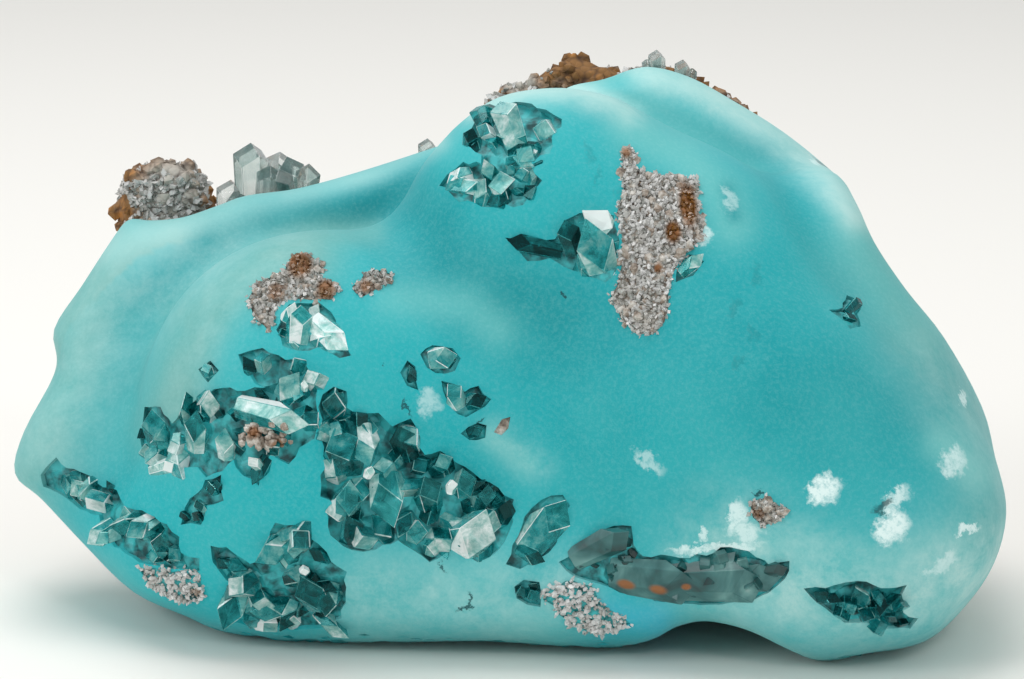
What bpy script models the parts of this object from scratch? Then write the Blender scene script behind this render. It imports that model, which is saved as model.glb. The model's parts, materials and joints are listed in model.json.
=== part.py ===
"""Rosasite specimen: a smooth, lobed turquoise crust with calcite crystals, grown on brown limonite.

The specimen is 98 mm long. +X runs along its length, the show face looks towards -Y, and its broken
base rests on z = 0 with the origin under the middle. Shapes are worked out in millimetres and turned
to metres where a mesh is made.

The show face is described as it is seen from a little above the horizon: `across` and `up` are
measured on a plane square to that line of sight through the middle of the specimen, and `away` is
the distance behind that plane.
"""

import math

import bmesh
import bpy
import numpy as np
from mathutils import Matrix, Vector
from mathutils.geometry import delaunay_2d_cdt

MM = 0.001

# The line of sight on the show face
SIGHT_TILT = math.radians(12.0)
SIGHT_DISTANCE = 430.0
MIDDLE = np.array((0.8, 2.2, 27.5))

RIGHT = np.array((1.0, 0.0, 0.0))
AWAY = np.array((0.0, math.cos(SIGHT_TILT), -math.sin(SIGHT_TILT)))
UP = np.array((0.0, math.sin(SIGHT_TILT), math.cos(SIGHT_TILT)))

# Silhouette of the crust on the show face, clockwise from the left knob: (across, up)
OUTLINE = (
    (-40.0, 10.0), (-38.4, 12.0), (-36.2, 11.9), (-33.0, 12.2), (-29.4, 13.4), (-26.5, 14.4),
    (-21.0, 15.2), (-13.5, 17.4),
    (-8.5, 19.6), (-5.5, 22.0), (-1.5, 24.6), (4.0, 25.6), (9.0, 26.0), (13.5, 27.8),
    (18.0, 26.9), (22.5, 24.2), (27.5, 21.2), (32.0, 17.6), (34.5, 13.5), (36.3, 9.6),
    (39.4, 5.0), (43.2, 0.2), (46.9, -6.5), (48.9, -13.0), (49.5, -17.5), (48.2, -22.4),
    (45.4, -26.6), (41.4, -30.2), (36.0, -31.4), (30.8, -32.3), (27.0, -31.4), (23.2, -29.4),
    (19.4, -28.4), (16.6, -29.0), (13.8, -30.6), (7.0, -30.9), (-2.0, -30.2), (-11.0, -30.3),
    (-20.5, -30.4), (-28.5, -29.4), (-32.6, -27.7), (-37.9, -25.3), (-42.4, -20.9),
    (-47.0, -16.0), (-49.7, -13.4), (-48.8, -9.2), (-45.6, -3.0), (-45.8, 1.0), (-43.0, 5.4),
)
RIM_ROUNDING = 3.0

# Lobes of the crust: (across, up, away), (radius across, radius up, radius away), turn in degrees,
# and the width over which the lobe runs into those above it
LOBES = (
    ((6.0, -7.0, 7.0), (41.0, 20.0, 17.0), 0.0, 1.0),       # heart of the mass
    ((24.0, -9.0, -4.0), (24.0, 18.0, 23.0), -32.0, 9.0),   # right belly
    ((34.0, -21.0, -8.0), (17.0, 13.0, 17.0), 14.0, 9.0),   # right foot
    ((-16.0, -20.0, -2.0), (27.0, 13.0, 16.0), 0.0, 9.0),   # left foot
    ((8.0, -21.0, -5.0), (24.0, 12.0, 15.0), 0.0, 9.0),     # front of the base
    ((-3.0, -7.0, -5.0), (16.0, 14.0, 14.0), 0.0, 9.0),     # saddle between the two sides
    ((-19.5, -6.5, -7.5), (17.0, 17.0, 15.5), 35.0, 8.0),   # left front lobe
    ((3.5, 11.0, -4.5), (13.5, 15.2, 14.0), 8.0, 7.0),      # upper dome
    ((16.0, 6.0, -4.0), (13.0, 13.0, 15.0), -30.0, 8.0),    # shoulder of the dome
    ((37.0, 2.0, 3.0), (12.0, 17.0, 15.0), 28.0, 6.0),      # right shoulder
    ((21.0, 15.0, 10.5), (21.0, 9.5, 9.0), -36.0, 3.5),     # ridge behind the dome
    ((-34.0, 1.0, 8.0), (20.0, 13.5, 9.5), 42.0, 5.0),      # left back lobe
    ((-41.0, -12.0, 4.0), (13.0, 12.0, 10.0), 60.0, 6.0),   # left wing
    ((-20.0, 12.5, 11.0), (26.0, 6.0, 7.0), 12.0, 4.0),     # ridge behind the left lobe
)

# Hollows pressed into the crust, written as the lobes are
HOLLOWS = (
    ((20.5, -33.5, -8.0), (8.0, 4.6, 18.0), 0.0, 1.5),      # arch under the base
)

# The crust ends behind on a plane that leans with the height; the limonite starts past a small gap
SEAM_AWAY = 12.0
SEAM_LEAN = -0.15
GAP = 0.35

# Limonite behind the crust, written as the lobes are; the knobs stand out past the crust's outline
MATRIX_LOBES = (
    ((0.0, -8.0, 15.0), (40.0, 21.0, 12.0), 0.0, 1.0),      # slab
    ((24.0, -8.0, 14.0), (21.0, 19.0, 10.0), -20.0, 5.0),   # right half
    ((15.0, 11.5, 15.0), (19.0, 16.0, 9.0), -28.0, 5.0),    # back of the dome
    ((-25.0, 4.5, 16.0), (20.0, 11.0, 8.0), 20.0, 5.0),     # left half
)
MATRIX_KNOBS = (
    ((-34.8, 12.8, 18.5), (6.7, 4.8, 5.4), 8.0, 2.0),       # knob at the left
    ((6.0, 24.0, 15.5), (8.4, 4.2, 3.6), 6.0, 2.0),         # ledge behind the dome
)
MATRIX_INSET = 1.4
LUMPS, LUMP_HEIGHT, LUMP_REACH, LUMP_SEED = 520, 2.0, 4.6, 5
MATRIX_FRONT = 6.0

# Patches of crystals in the crust. Corners are (across, up) as seen on the show face. `depth` is how
# far the patch is let into the crust; `spikes` counts scattered crystals with their (length, width).
# `crystals` are single ones: foot, tip (across, up, height over the crust), (width, thickness).
PATCHES = (
    ("calcite_upper", "calcite", 11, dict(
        corners=((-3.4, 22.1), (0.3, 23.7), (3.3, 22.9), (4.8, 22.0), (3.6, 18.7), (1.3, 17.8),
                 (2.8, 15.9), (1.0, 13.6), (-2.2, 13.4), (-5.2, 13.9), (-7.1, 15.5), (-4.9, 17.6),
                 (-3.0, 17.4), (-2.9, 18.6), (-4.6, 19.6)),
        depth=1.7, spikes=(8, 3.4, 2.2))),
    ("druse_centre", "druse", 12, dict(
        corners=((11.2, 18.9), (12.1, 18.9), (12.4, 17.0), (14.0, 16.3), (18.3, 15.9), (18.5, 13.5),
                 (18.9, 10.5), (17.0, 8.6), (15.9, 6.6), (15.5, 3.8), (15.1, 1.8), (13.8, 0.6),
                 (12.6, 0.8), (11.0, 2.2), (10.0, 4.2), (10.9, 6.5), (11.2, 10.0), (10.6, 12.5),
                 (11.4, 14.5), (11.0, 16.5)),
        depth=1.5, crust_like=(1.7, 1.5))),
    ("calcite_centre", "calcite", 13, dict(
        corners=((-0.5, 10.1), (4.4, 9.9), (5.4, 11.8), (6.8, 12.5), (8.8, 12.7), (10.0, 12.3),
                 (10.6, 9.8), (10.3, 7.0), (9.3, 5.9), (7.8, 6.4), (6.0, 7.1), (3.8, 8.3), (1.6, 8.0)),
        depth=1.6, spikes=(3, 2.8, 1.8), crystals=(
            ((9.6, 6.6, -0.6), (6.8, 12.4, 2.8), (5.4, 4.4)),
            ((6.4, 8.4, -0.2), (-0.6, 10.0, 0.9), (2.6, 1.8)),
        ))),
    ("calcite_fin", "calcite", 14, dict(
        corners=((17.7, 8.4), (19.0, 7.8), (18.0, 6.5), (16.5, 5.9), (16.6, 6.8)),
        depth=1.2, crystals=(((16.7, 6.5, -0.6), (19.2, 8.2, 1.4), (1.8, 1.0)),))),
    ("druse_left", "druse", 15, dict(
        corners=((-21.6, 8.5), (-20.3, 8.5), (-19.3, 7.6), (-19.1, 6.0), (-17.5, 5.0), (-18.2, 4.1),
                 (-21.0, 4.2), (-22.8, 4.0), (-23.8, 3.0), (-24.2, 0.8), (-25.4, 2.0), (-26.3, 4.0),
                 (-25.6, 5.4), (-24.0, 6.2), (-22.6, 6.7)),
        depth=1.4, crust_like=(1.5, 1.4))),
    ("calcite_left_blade", "calcite", 16, dict(
        corners=((-22.2, 3.4), (-19.4, 3.6), (-17.8, 2.0), (-16.3, -1.5), (-17.2, -1.7),
                 (-19.4, -0.6), (-21.2, -1.0), (-22.8, -0.5), (-23.4, 1.0), (-23.0, 2.4)),
        depth=1.5, spikes=(1, 2.4, 1.6), crystals=(
            ((-20.6, 3.0, -0.2), (-16.4, -1.6, 1.2), (3.4, 1.8)),
            ((-21.0, -0.6, -0.4), (-22.0, 3.2, 1.6), (2.6, 1.8)),
        ))),
    ("druse_chip", "druse", 17, dict(
        corners=((-15.6, 4.8), (-15.8, 5.3), (-14.7, 6.4), (-13.8, 6.9), (-12.2, 6.5), (-12.6, 5.7),
                 (-14.0, 4.9), (-15.0, 4.4)),
        depth=0.9, crust_like=(1.2, 0.6))),
    ("calcite_left_field", "calcite", 18, dict(
        corners=((-27.2, -1.6), (-25.0, -1.0), (-22.7, -2.2), (-20.9, -2.4), (-19.4, -4.0),
                 (-19.8, -6.0), (-19.4, -8.0), (-19.9, -9.8), (-21.4, -10.7), (-22.4, -12.3),
                 (-24.2, -11.2), (-25.4, -14.4), (-26.8, -13.5), (-27.8, -11.8), (-29.0, -13.0),
                 (-30.6, -13.6), (-31.4, -12.6), (-36.2, -13.0), (-37.1, -10.0), (-36.7, -6.9),
                 (-35.2, -6.9), (-34.0, -8.6), (-33.0, -7.2), (-31.2, -5.9), (-29.0, -5.0),
                 (-26.7, -5.3), (-24.7, -4.9), (-26.2, -3.3)),
        depth=1.7, spikes=(8, 3.4, 2.4), crystals=(
            ((-35.4, -12.4, -0.2), (-35.6, -7.2, 1.4), (3.0, 2.0)),
            ((-28.6, -6.2, 0.0), (-19.6, -8.4, 2.2), (3.6, 2.4)),
        ))),
    ("calcite_chain", "calcite", 19, dict(
        corners=((-30.6, -14.2), (-29.2, -13.7), (-29.0, -16.0), (-30.8, -16.5), (-31.2, -18.4),
                 (-33.0, -18.4), (-32.6, -16.9), (-31.4, -15.5)),
        depth=1.3, spikes=(2, 2.4, 1.6))),
    ("calcite_main_cluster", "calcite", 20, dict(
        corners=((-18.8, -5.6), (-17.8, -4.9), (-16.7, -5.3), (-16.7, -6.9), (-15.2, -7.9),
                 (-13.4, -7.5), (-12.0, -8.9), (-10.2, -8.1), (-8.8, -11.7), (-7.2, -11.3),
                 (-3.2, -14.1), (0.0, -16.1), (-0.4, -19.1), (-1.4, -20.9), (-3.4, -22.1),
                 (-6.0, -20.6), (-8.2, -22.1), (-11.4, -19.9), (-13.7, -20.9), (-16.0, -20.9),
                 (-18.0, -19.5), (-18.4, -17.1), (-17.6, -16.3), (-19.0, -15.6), (-19.0, -13.6),
                 (-18.4, -12.3), (-18.9, -10.0), (-18.8, -8.0), (-19.2, -6.8)),
        depth=2.0, spikes=(11, 4.0, 3.2), crystals=(
            ((-12.4, -13.0, -0.4), (-11.6, -18.2, 2.2), (4.4, 3.2)),
            ((-5.2, -20.8, -0.6), (-3.0, -16.6, 2.4), (4.2, 3.0)),
            ((-15.4, -18.4, -0.4), (-16.8, -14.0, 2.0), (3.4, 2.6)),
        ))),
    ("calcite_lower_left", "calcite", 51, dict(
        corners=((-47.0, -13.6), (-45.6, -12.0), (-44.6, -13.0), (-43.2, -13.4), (-41.6, -14.5),
                 (-39.6, -15.2), (-38.8, -16.8), (-36.4, -17.6), (-34.6, -18.6), (-33.4, -19.8),
                 (-33.2, -21.4), (-31.4, -22.0), (-31.4, -23.0), (-34.2, -22.8), (-36.6, -22.3),
                 (-38.6, -21.3), (-40.2, -20.0), (-41.0, -18.6), (-41.2, -17.4), (-43.2, -16.8),
                 (-45.4, -15.2), (-46.8, -14.6)),
        depth=1.5, spikes=(9, 2.9, 2.0))),
    ("druse_lower_left", "druse", 22, dict(
        corners=((-37.2, -23.0), (-35.8, -23.0), (-34.0, -23.4), (-31.3, -23.6), (-31.0, -25.6),
                 (-31.8, -26.2), (-34.2, -25.6), (-36.2, -24.4)),
        depth=1.1, crust_like=(1.5, 1.2))),
    ("calcite_lower_cluster", "calcite", 23, dict(
        corners=((-23.6, -18.5), (-21.6, -18.7), (-19.4, -20.6), (-18.2, -22.3), (-16.7, -23.3),
                 (-16.8, -25.5), (-17.2, -27.8), (-19.2, -28.8), (-21.6, -29.0), (-25.0, -28.6),
                 (-28.2, -28.2), (-28.9, -26.6), (-27.6, -24.6), (-29.8, -22.2), (-30.0, -20.8),
                 (-28.6, -20.9), (-26.2, -22.6), (-24.4, -22.3), (-24.2, -20.2)),
        depth=1.6, spikes=(9, 3.4, 2.5))),
    ("calcite_blade", "calcite", 24, dict(
        corners=((-0.4, -22.4), (0.2, -20.6), (1.4, -17.8), (3.0, -16.2), (5.0, -15.7),
                 (5.6, -16.6), (4.6, -19.2), (3.6, -21.2), (2.4, -22.4), (0.8, -22.8)),
        depth=1.4, crystals=(
            ((0.4, -22.0, -0.3), (5.8, -15.8, 1.6), (4.0, 1.9)),
            ((-0.2, -20.8, -0.3), (3.0, -22.6, 0.9), (2.0, 1.4)),
        ))),
    ("calcite_base_slab", "smoky", 25, dict(
        corners=((4.9, -22.3), (7.8, -20.1), (10.2, -18.8), (11.8, -18.8), (12.0, -20.6),
                 (13.0, -21.8), (17.8, -22.0), (21.8, -20.9), (23.6, -21.3), (25.8, -22.9),
                 (27.6, -22.3), (27.2, -23.8), (25.6, -25.2), (23.4, -26.2), (20.8, -26.4),
                 (17.8, -26.3), (14.3, -26.0), (11.8, -25.4), (8.0, -24.1), (6.3, -23.6)),
        depth=1.3, spikes=(3, 2.4, 1.8), crystals=(
            ((5.4, -22.6, -0.3), (11.8, -18.9, 1.0), (3.4, 1.8)),
            ((12.4, -24.2, -0.6), (26.0, -23.8, 0.5), (4.6, 2.0)),
            ((23.2, -21.6, -0.3), (27.8, -22.7, 0.9), (1.6, 1.2)),
        ))),
    ("druse_base", "druse", 26, dict(
        corners=((3.4, -25.2), (5.4, -24.3), (7.8, -24.7), (8.4, -26.2), (10.0, -27.3),
                 (11.6, -28.4), (10.2, -29.2), (8.2, -29.2), (5.8, -28.4), (4.8, -27.4),
                 (4.3, -26.5), (3.3, -26.0)),
        depth=1.2, crust_like=(1.5, 1.2))),
    ("calcite_base_left", "calcite", 27, dict(
        corners=((0.4, -24.8), (1.2, -24.2), (2.6, -24.4), (2.8, -25.4), (2.7, -26.6), (1.6, -26.4),
                 (0.6, -25.8)),
        depth=1.2, spikes=(3, 2.2, 1.5))),
    ("calcite_lower_right", "calcite", 28, dict(
        corners=((29.4, -25.0), (32.3, -24.7), (34.6, -24.3), (36.8, -25.0), (39.3, -24.7),
                 (38.6, -26.0), (39.0, -27.4), (40.4, -28.0), (39.8, -28.8), (38.4, -28.8),
                 (36.9, -28.8), (35.6, -28.2), (33.3, -28.2), (32.2, -27.4), (30.6, -26.2)),
        depth=1.5, spikes=(6, 2.6, 1.9))),
    ("calcite_single_left", "calcite", 29, dict(
        corners=((-31.2, -3.0), (-30.2, -2.3), (-29.5, -3.1), (-30.4, -4.1)),
        depth=0.8, crystals=(((-30.2, -3.9, 0.1), (-30.4, -2.4, 0.9), (1.5, 1.2)),))),
    ("calcite_single_upper", "calcite", 30, dict(
        corners=((-9.0, -1.5), (-7.9, -0.7), (-6.0, -1.0), (-5.3, -1.9), (-5.8, -3.0),
                 (-7.6, -3.2), (-8.4, -2.7)),
        depth=1.0, crystals=(((-8.8, -2.0, -0.2), (-5.4, -1.8, 1.1), (2.6, 1.8)),))),
    ("calcite_single_slim", "calcite", 31, dict(
        corners=((-11.0, -3.3), (-10.4, -2.3), (-9.8, -2.8), (-9.8, -3.9), (-9.5, -4.9),
                 (-10.4, -4.5)),
        depth=0.9, crystals=(((-9.8, -4.6, -0.1), (-10.5, -2.4, 0.8), (1.3, 1.0)),))),
    ("calcite_pair", "calcite", 32, dict(
        corners=((-6.9, -4.3), (-5.8, -4.6), (-4.7, -5.4), (-3.4, -4.8), (-2.3, -6.0),
                 (-3.4, -6.9), (-4.6, -7.6), (-5.9, -6.8), (-6.5, -5.7)),
        depth=1.0, crystals=(
            ((-4.7, -7.2, -0.2), (-6.8, -4.3, 1.0), (2.2, 1.4)),
            ((-4.8, -6.2, -0.2), (-2.4, -5.9, 1.0), (1.9, 1.3)),
        ))),
    ("calcite_single_lower", "calcite", 33, dict(
        corners=((-4.9, -9.4), (-4.3, -8.9), (-3.4, -8.5), (-2.7, -8.7), (-2.8, -9.7), (-4.2, -9.9)),
        depth=0.9, crystals=(((-4.6, -9.5, -0.1), (-2.8, -8.8, 0.8), (1.3, 1.0)),))),
    ("limonite_flake", "flake", 34, dict(
        corners=((-1.6, -9.2), (-0.9, -8.1), (-0.3, -7.9), (-0.5, -8.8), (-1.1, -9.4)),
        depth=0.6, crust_like=(1.2, 0.4))),
    ("calcite_butterfly", "calcite", 35, dict(
        corners=((31.9, 2.9), (33.2, 3.1), (33.6, 4.3), (34.9, 3.7), (34.4, 2.6), (34.8, 1.4),
                 (33.8, 1.2), (33.0, 2.1)),
        depth=0.9, crystals=(
            ((33.6, 2.6, -0.1), (34.8, 3.9, 0.8), (1.2, 1.0)),
            ((33.4, 2.6, -0.1), (34.6, 1.3, 0.8), (1.2, 1.0)),
        ))),
    ("druse_pit", "druse", 36, dict(
        corners=((24.0, -16.6), (25.3, -16.1), (27.3, -16.9), (26.3, -18.0), (25.2, -18.5),
                 (24.2, -17.7)),
        depth=1.2, crust_like=(1.2, 0.9))),
)

# Crystals that stand on top of the limonite. Corners and feet are (x, y) from the middle, and a tip is
# (x, y) with its height over the limonite.
UPRIGHTS = (
    ("calcite_top_left", 41, dict(
        corners=((-30.6, 15.0), (-25.0, 14.4), (-19.6, 15.0), (-19.4, 18.6), (-25.0, 20.0),
                 (-30.4, 18.8)),
        depth=1.0, spikes=(2, 3.6, 3.0), crystals=(
            ((-26.2, 17.0, -1.4), (-26.0, 16.4, 9.4), (5.0, 4.2)),
            ((-23.6, 17.2, -1.4), (-23.4, 16.8, 7.4), (4.8, 4.0)),
            ((-21.4, 16.8, -1.4), (-20.8, 16.6, 5.2), (4.0, 3.4)),
            ((-28.6, 17.0, -1.4), (-29.0, 16.6, 7.8), (3.6, 3.2)),
            ((-25.2, 15.8, -1.4), (-25.0, 15.2, 6.6), (4.0, 3.2)),
        ))),
    ("calcite_tip_left", 42, dict(
        corners=((13.6, 14.8), (15.9, 14.8), (15.9, 17.0), (13.6, 17.0)),
        depth=0.9, crystals=(((14.9, 16.0, -1.4), (14.8, 15.8, 3.3), (1.8, 1.5)),))),
    ("calcite_tip_right", 43, dict(
        corners=((16.4, 14.8), (18.6, 14.8), (18.6, 17.0), (16.4, 17.0)),
        depth=0.9, crystals=(((17.3, 16.0, -1.4), (17.5, 15.8, 3.2), (1.7, 1.4)),))),
    ("calcite_tip_saddle", 44, dict(
        corners=((-9.8, 14.6), (-7.2, 14.6), (-7.2, 17.0), (-9.8, 17.0)),
        depth=0.9, crystals=(((-8.5, 15.8, -1.4), (-8.7, 15.6, 5.8), (2.2, 1.8)),))),
)

# Room round what stands in a pocket, and how far down and out the surface is looked for
POCKET_CLEARANCE, HEADROOM = 0.4, 4.0
RISE, DEEPEST, FRONT_AWAY, SEARCH = 10.0, 12.0, -44.0, 70.0

# The bed of a pocket: how far it is lifted off the pocket's floor, its top over that floor at the edge
# and in the middle with the scatter, and how far apart its corners are
BED_LIFT, BED_EDGE, BED_MIDDLE, BED_SCATTER, BED_SPACING = 0.35, 0.7, 0.8, 0.3, 3.4
GRID_SCATTER, GRID_MARGIN, EDGE_WIDTH = 0.28, 0.4, 0.05

# Crystals: where the widest ring is along the length and how far it zigzags, how scattered ones lean
# in degrees, vary in size and are rooted in the bed, and how high any may stand over the surface
SHOULDER, UPRIGHT_SHOULDER, ZIGZAG = 0.42, 0.68, 0.09
LEAN, SIZES, ROOT, TALLEST = (8.0, 58.0), (0.75, 1.35), 0.45, 12.0
FLATNESS, RIM_MARGIN = (0.6, 0.95), 0.35

# The grid in which the surfaces are found, how far they are thinned, and the shortest edge that is kept
LOWEST, HIGHEST, CELL = (-56.0, -44.0, -14.0), (56.0, 40.0, 64.0), 1.6
CRUST_TRIANGLES, MATRIX_TRIANGLES = 1750, 880
SHORTEST = 0.004
BASE_POINT, DOWN = np.zeros(3), np.array((0.0, 0.0, -1.0))

MATERIALS = {
    # name: (colour, roughness, transmission, index of refraction)
    "rosasite": ((0.05, 0.43, 0.46), 0.75, 0.0, 1.5),
    "limonite": ((0.19, 0.085, 0.035), 0.85, 0.0, 1.5),
    "druse": ((0.48, 0.42, 0.36), 0.5, 0.0, 1.5),
    "calcite": ((0.42, 0.72, 0.71), 0.08, 0.85, 1.6),
    "smoky": ((0.16, 0.27, 0.27), 0.2, 0.5, 1.6),
    "flake": ((0.45, 0.37, 0.2), 0.6, 0.0, 1.5),
}


def in_sight(points):
    """Distances (right, up, away) of points from the middle, along the line of sight's axes."""
    return (points - MIDDLE) @ np.stack((RIGHT, UP, AWAY), axis=1)


def placed(across, up, away):
    """The point that is seen at (across, up) and lies that far behind the middle plane."""
    spread = (SIGHT_DISTANCE + away) / SIGHT_DISTANCE
    return MIDDLE + (RIGHT * across + UP * up) * spread + AWAY * away


def smooth_curve(corners, steps):
    """Points of a closed Catmull-Rom curve through the corners, `steps` to each stretch."""
    corners = np.array(corners)
    before, after = np.roll(corners, 1, axis=0), np.roll(corners, -1, axis=0)
    beyond = np.roll(corners, -2, axis=0)
    points = []
    for share in np.arange(steps) / steps:
        points.append(0.5 * (
            2 * corners + (after - before) * share
            + (2 * before - 5 * corners + 4 * after - beyond) * share ** 2
            + (3 * corners - before - 3 * after + beyond) * share ** 3
        ))
    return np.stack(points, axis=1).reshape(-1, 2)


def outline_distance(across, up, loop):
    """Distance outside a closed loop of (across, up) points; negative inside."""
    (x0, y0), (x1, y1) = loop.T, np.roll(loop, -1, axis=0).T
    dx, dy = x1 - x0, y1 - y0
    distance = np.empty(len(across))
    for start in range(0, len(across), 4000):
        x, y = across[start:start + 4000, None], up[start:start + 4000, None]
        share = np.clip(((x - x0) * dx + (y - y0) * dy) / (dx * dx + dy * dy), 0, 1)
        gap = (x - x0 - share * dx) ** 2 + (y - y0 - share * dy) ** 2
        crossings = ((y0 > y) != (y1 > y)) & (x < dx * (y - y0) / np.where(dy == 0, 1, dy) + x0)
        side = np.where(crossings.sum(axis=1) % 2, -1.0, 1.0)
        distance[start:start + 4000] = side * np.sqrt(gap.min(axis=1))
    return distance


def smooth_min(first, second, blend):
    """The smaller of two distances, rounded where they meet."""
    near = np.maximum(blend - np.abs(first - second), 0) / blend
    return np.minimum(first, second) - near * near * blend / 4


def smooth_max(first, second, blend):
    return -smooth_min(-first, -second, blend)


def ellipsoid_distance(sight, lobe):
    """Distance outside a lobe, near enough; `sight` holds points along the line of sight's axes."""
    (across, up, away), radii, turn, _ = lobe
    spread = (SIGHT_DISTANCE + away) / SIGHT_DISTANCE
    rel = sight - np.array((across * spread, up * spread, away))
    c, s = math.cos(math.radians(turn)), math.sin(math.radians(turn))
    rel = np.stack((rel[:, 0] * c + rel[:, 1] * s, rel[:, 1] * c - rel[:, 0] * s, rel[:, 2]), axis=1)
    radii = np.array(radii)
    scaled = np.linalg.norm(rel / radii, axis=1)
    slope = np.linalg.norm(rel / radii ** 2, axis=1)
    return scaled * (scaled - 1) / np.maximum(slope, 1e-9)


def beyond_outline(sight):
    """Distance outside the crust's silhouette; `sight` holds points along the line of sight's axes."""
    spread = (SIGHT_DISTANCE + sight[:, 2]) / SIGHT_DISTANCE
    return outline_distance(sight[:, 0] / spread, sight[:, 1] / spread, smooth_curve(OUTLINE, 4))


def crust_distance(points):
    """Distance outside the crust, before it is cut off at the base and the seam."""
    sight = in_sight(points)
    value = np.full(len(points), 1e3)
    for lobe in LOBES:
        value = smooth_min(value, ellipsoid_distance(sight, lobe), lobe[3])
    for hollow in HOLLOWS:
        value = smooth_max(value, -ellipsoid_distance(sight, hollow), hollow[3])
    return smooth_max(value, beyond_outline(sight), RIM_ROUNDING)


def matrix_distance(points):
    """Distance outside the limonite, before it is cut off at the base and the seam."""
    sight = in_sight(points)
    value = np.full(len(points), 1e3)
    for lobe in MATRIX_LOBES:
        value = smooth_min(value, ellipsoid_distance(sight, lobe), lobe[3])
    value = smooth_max(value, beyond_outline(sight) + MATRIX_INSET, RIM_ROUNDING)
    for lobe in MATRIX_KNOBS:
        value = smooth_min(value, ellipsoid_distance(sight, lobe), lobe[3])
    lowest = (LOWEST[0], MATRIX_FRONT, LOWEST[2])
    lumps = np.random.default_rng(LUMP_SEED).uniform(lowest, HIGHEST, (LUMPS, 3))
    nearest = np.full(len(points), np.inf)
    for lump in lumps:
        nearest = np.minimum(nearest, np.linalg.norm(points - lump, axis=1))
    return value + LUMP_HEIGHT * (nearest / LUMP_REACH - 1)


def surface_of(distance, low, high, step):
    """Points and quads of the surface where distance(points) is 0, found cell by cell."""
    axes = [np.arange(a, b + step, step) for a, b in zip(low, high)]
    shape = tuple(len(axis) for axis in axes)
    grid = np.stack(np.meshgrid(*axes, indexing="ij"), axis=-1).reshape(-1, 3)
    value = np.full(shape, step)
    value[1:-1, 1:-1, 1:-1] = distance(grid).reshape(shape)[1:-1, 1:-1, 1:-1]
    inside = value < 0
    cells = tuple(n - 1 for n in shape)
    filled = np.zeros(cells, int)
    for i, j, k in np.ndindex(2, 2, 2):
        filled += inside[i:i + cells[0], j:j + cells[1], k:k + cells[2]]
    crossed = np.argwhere((filled > 0) & (filled < 8))
    number = np.full(cells, -1)
    number[tuple(crossed.T)] = np.arange(len(crossed))
    total, count = np.zeros((len(crossed), 3)), np.zeros((len(crossed), 1))
    for axis in range(3):
        one = np.eye(3, dtype=int)[axis]
        others = [np.eye(3, dtype=int)[other] for other in range(3) if other != axis]
        for p, q in np.ndindex(2, 2):
            start = crossed + p * others[0] + q * others[1]
            v0, v1 = value[tuple(start.T)], value[tuple((start + one).T)]
            share = np.where((v0 < 0) != (v1 < 0), v0 / (v0 - v1 + (v0 == v1)), np.nan)[:, None]
            hit = ~np.isnan(share)
            total += np.where(hit, start + one * np.nan_to_num(share), 0)
            count += hit
    points = total / count * step + np.array([axis[0] for axis in axes])
    quads = []
    for axis in range(3):
        one = np.eye(3, dtype=int)[axis]
        p, q = [np.eye(3, dtype=int)[other] for other in range(3) if other != axis]
        ahead = np.roll(inside, -1, axis=axis)
        edges = np.argwhere(inside != ahead)
        edges = edges[(edges + one < np.array(shape)).all(axis=1)]
        around = [number[tuple((edges - a * p - b * q).T)] for a, b in ((0, 0), (1, 0), (1, 1), (0, 1))]
        quads.append(np.stack(around, axis=1))
    return points, np.concatenate(quads)


def make_object(name, points, faces):
    """A mesh object from points in millimetres, with its faces turned outwards."""
    mesh = bpy.data.meshes.new(name)
    mesh.from_pydata((np.array(points) * MM).tolist(), [], [list(map(int, face)) for face in faces])
    shape = bmesh.new()
    shape.from_mesh(mesh)
    bmesh.ops.recalc_face_normals(shape, faces=shape.faces)
    shape.to_mesh(mesh)
    shape.free()
    obj = bpy.data.objects.new(name, mesh)
    bpy.context.scene.collection.objects.link(obj)
    return obj


def evaluated(obj):
    """Replaces the object's mesh by what its modifiers make of it."""
    graph = bpy.context.evaluated_depsgraph_get()
    made = bpy.data.meshes.new_from_object(obj.evaluated_get(graph))
    obj.modifiers.clear()
    obj.data = made
    return obj


def thinned(obj, triangles):
    """Collapses the mesh to about that many triangles."""
    obj.data.calc_loop_triangles()
    modifier = obj.modifiers.new("Decimate", "DECIMATE")
    modifier.ratio = triangles / len(obj.data.loop_triangles)
    return evaluated(obj)


def cut_flat(obj, point, normal):
    """Cuts off what lies on the normal's side of a plane, and closes the cut."""
    shape = bmesh.new()
    shape.from_mesh(obj.data)
    found = bmesh.ops.bisect_plane(
        shape, geom=shape.verts[:] + shape.edges[:] + shape.faces[:],
        plane_co=tuple(point * MM), plane_no=tuple(normal), clear_outer=True,
    )
    rim = [item for item in found["geom_cut"] if isinstance(item, bmesh.types.BMEdge)]
    bmesh.ops.holes_fill(shape, edges=rim)
    bmesh.ops.recalc_face_normals(shape, faces=shape.faces)
    bmesh.ops.triangulate(shape, faces=shape.faces)
    shape.to_mesh(obj.data)
    shape.free()


def first_inside(distance, starts, direction, reach, step=0.5):
    """How far from each start, going in that direction, the solid begins."""
    found = np.full(len(starts), np.nan)
    before = distance(starts)
    for way in np.arange(step, reach + step, step):
        value = distance(starts + direction * way)
        hit = (value < 0) & np.isnan(found)
        found[hit] = way - step + step * before[hit] / (before[hit] - value[hit])
        before = value
    return found


def seen(places):
    """The points of the crust that are seen at places (across, up, height); the height stays out."""
    places = np.array(places)
    across, up = places[:, :1], places[:, 1:2]
    eye = MIDDLE - AWAY * SIGHT_DISTANCE
    starts = placed(across, up, FRONT_AWAY)
    rays = (starts - eye) / np.linalg.norm(starts - eye, axis=1)[:, None]
    return starts + rays * first_inside(crust_distance, starts, rays, SEARCH)[:, None]


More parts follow.
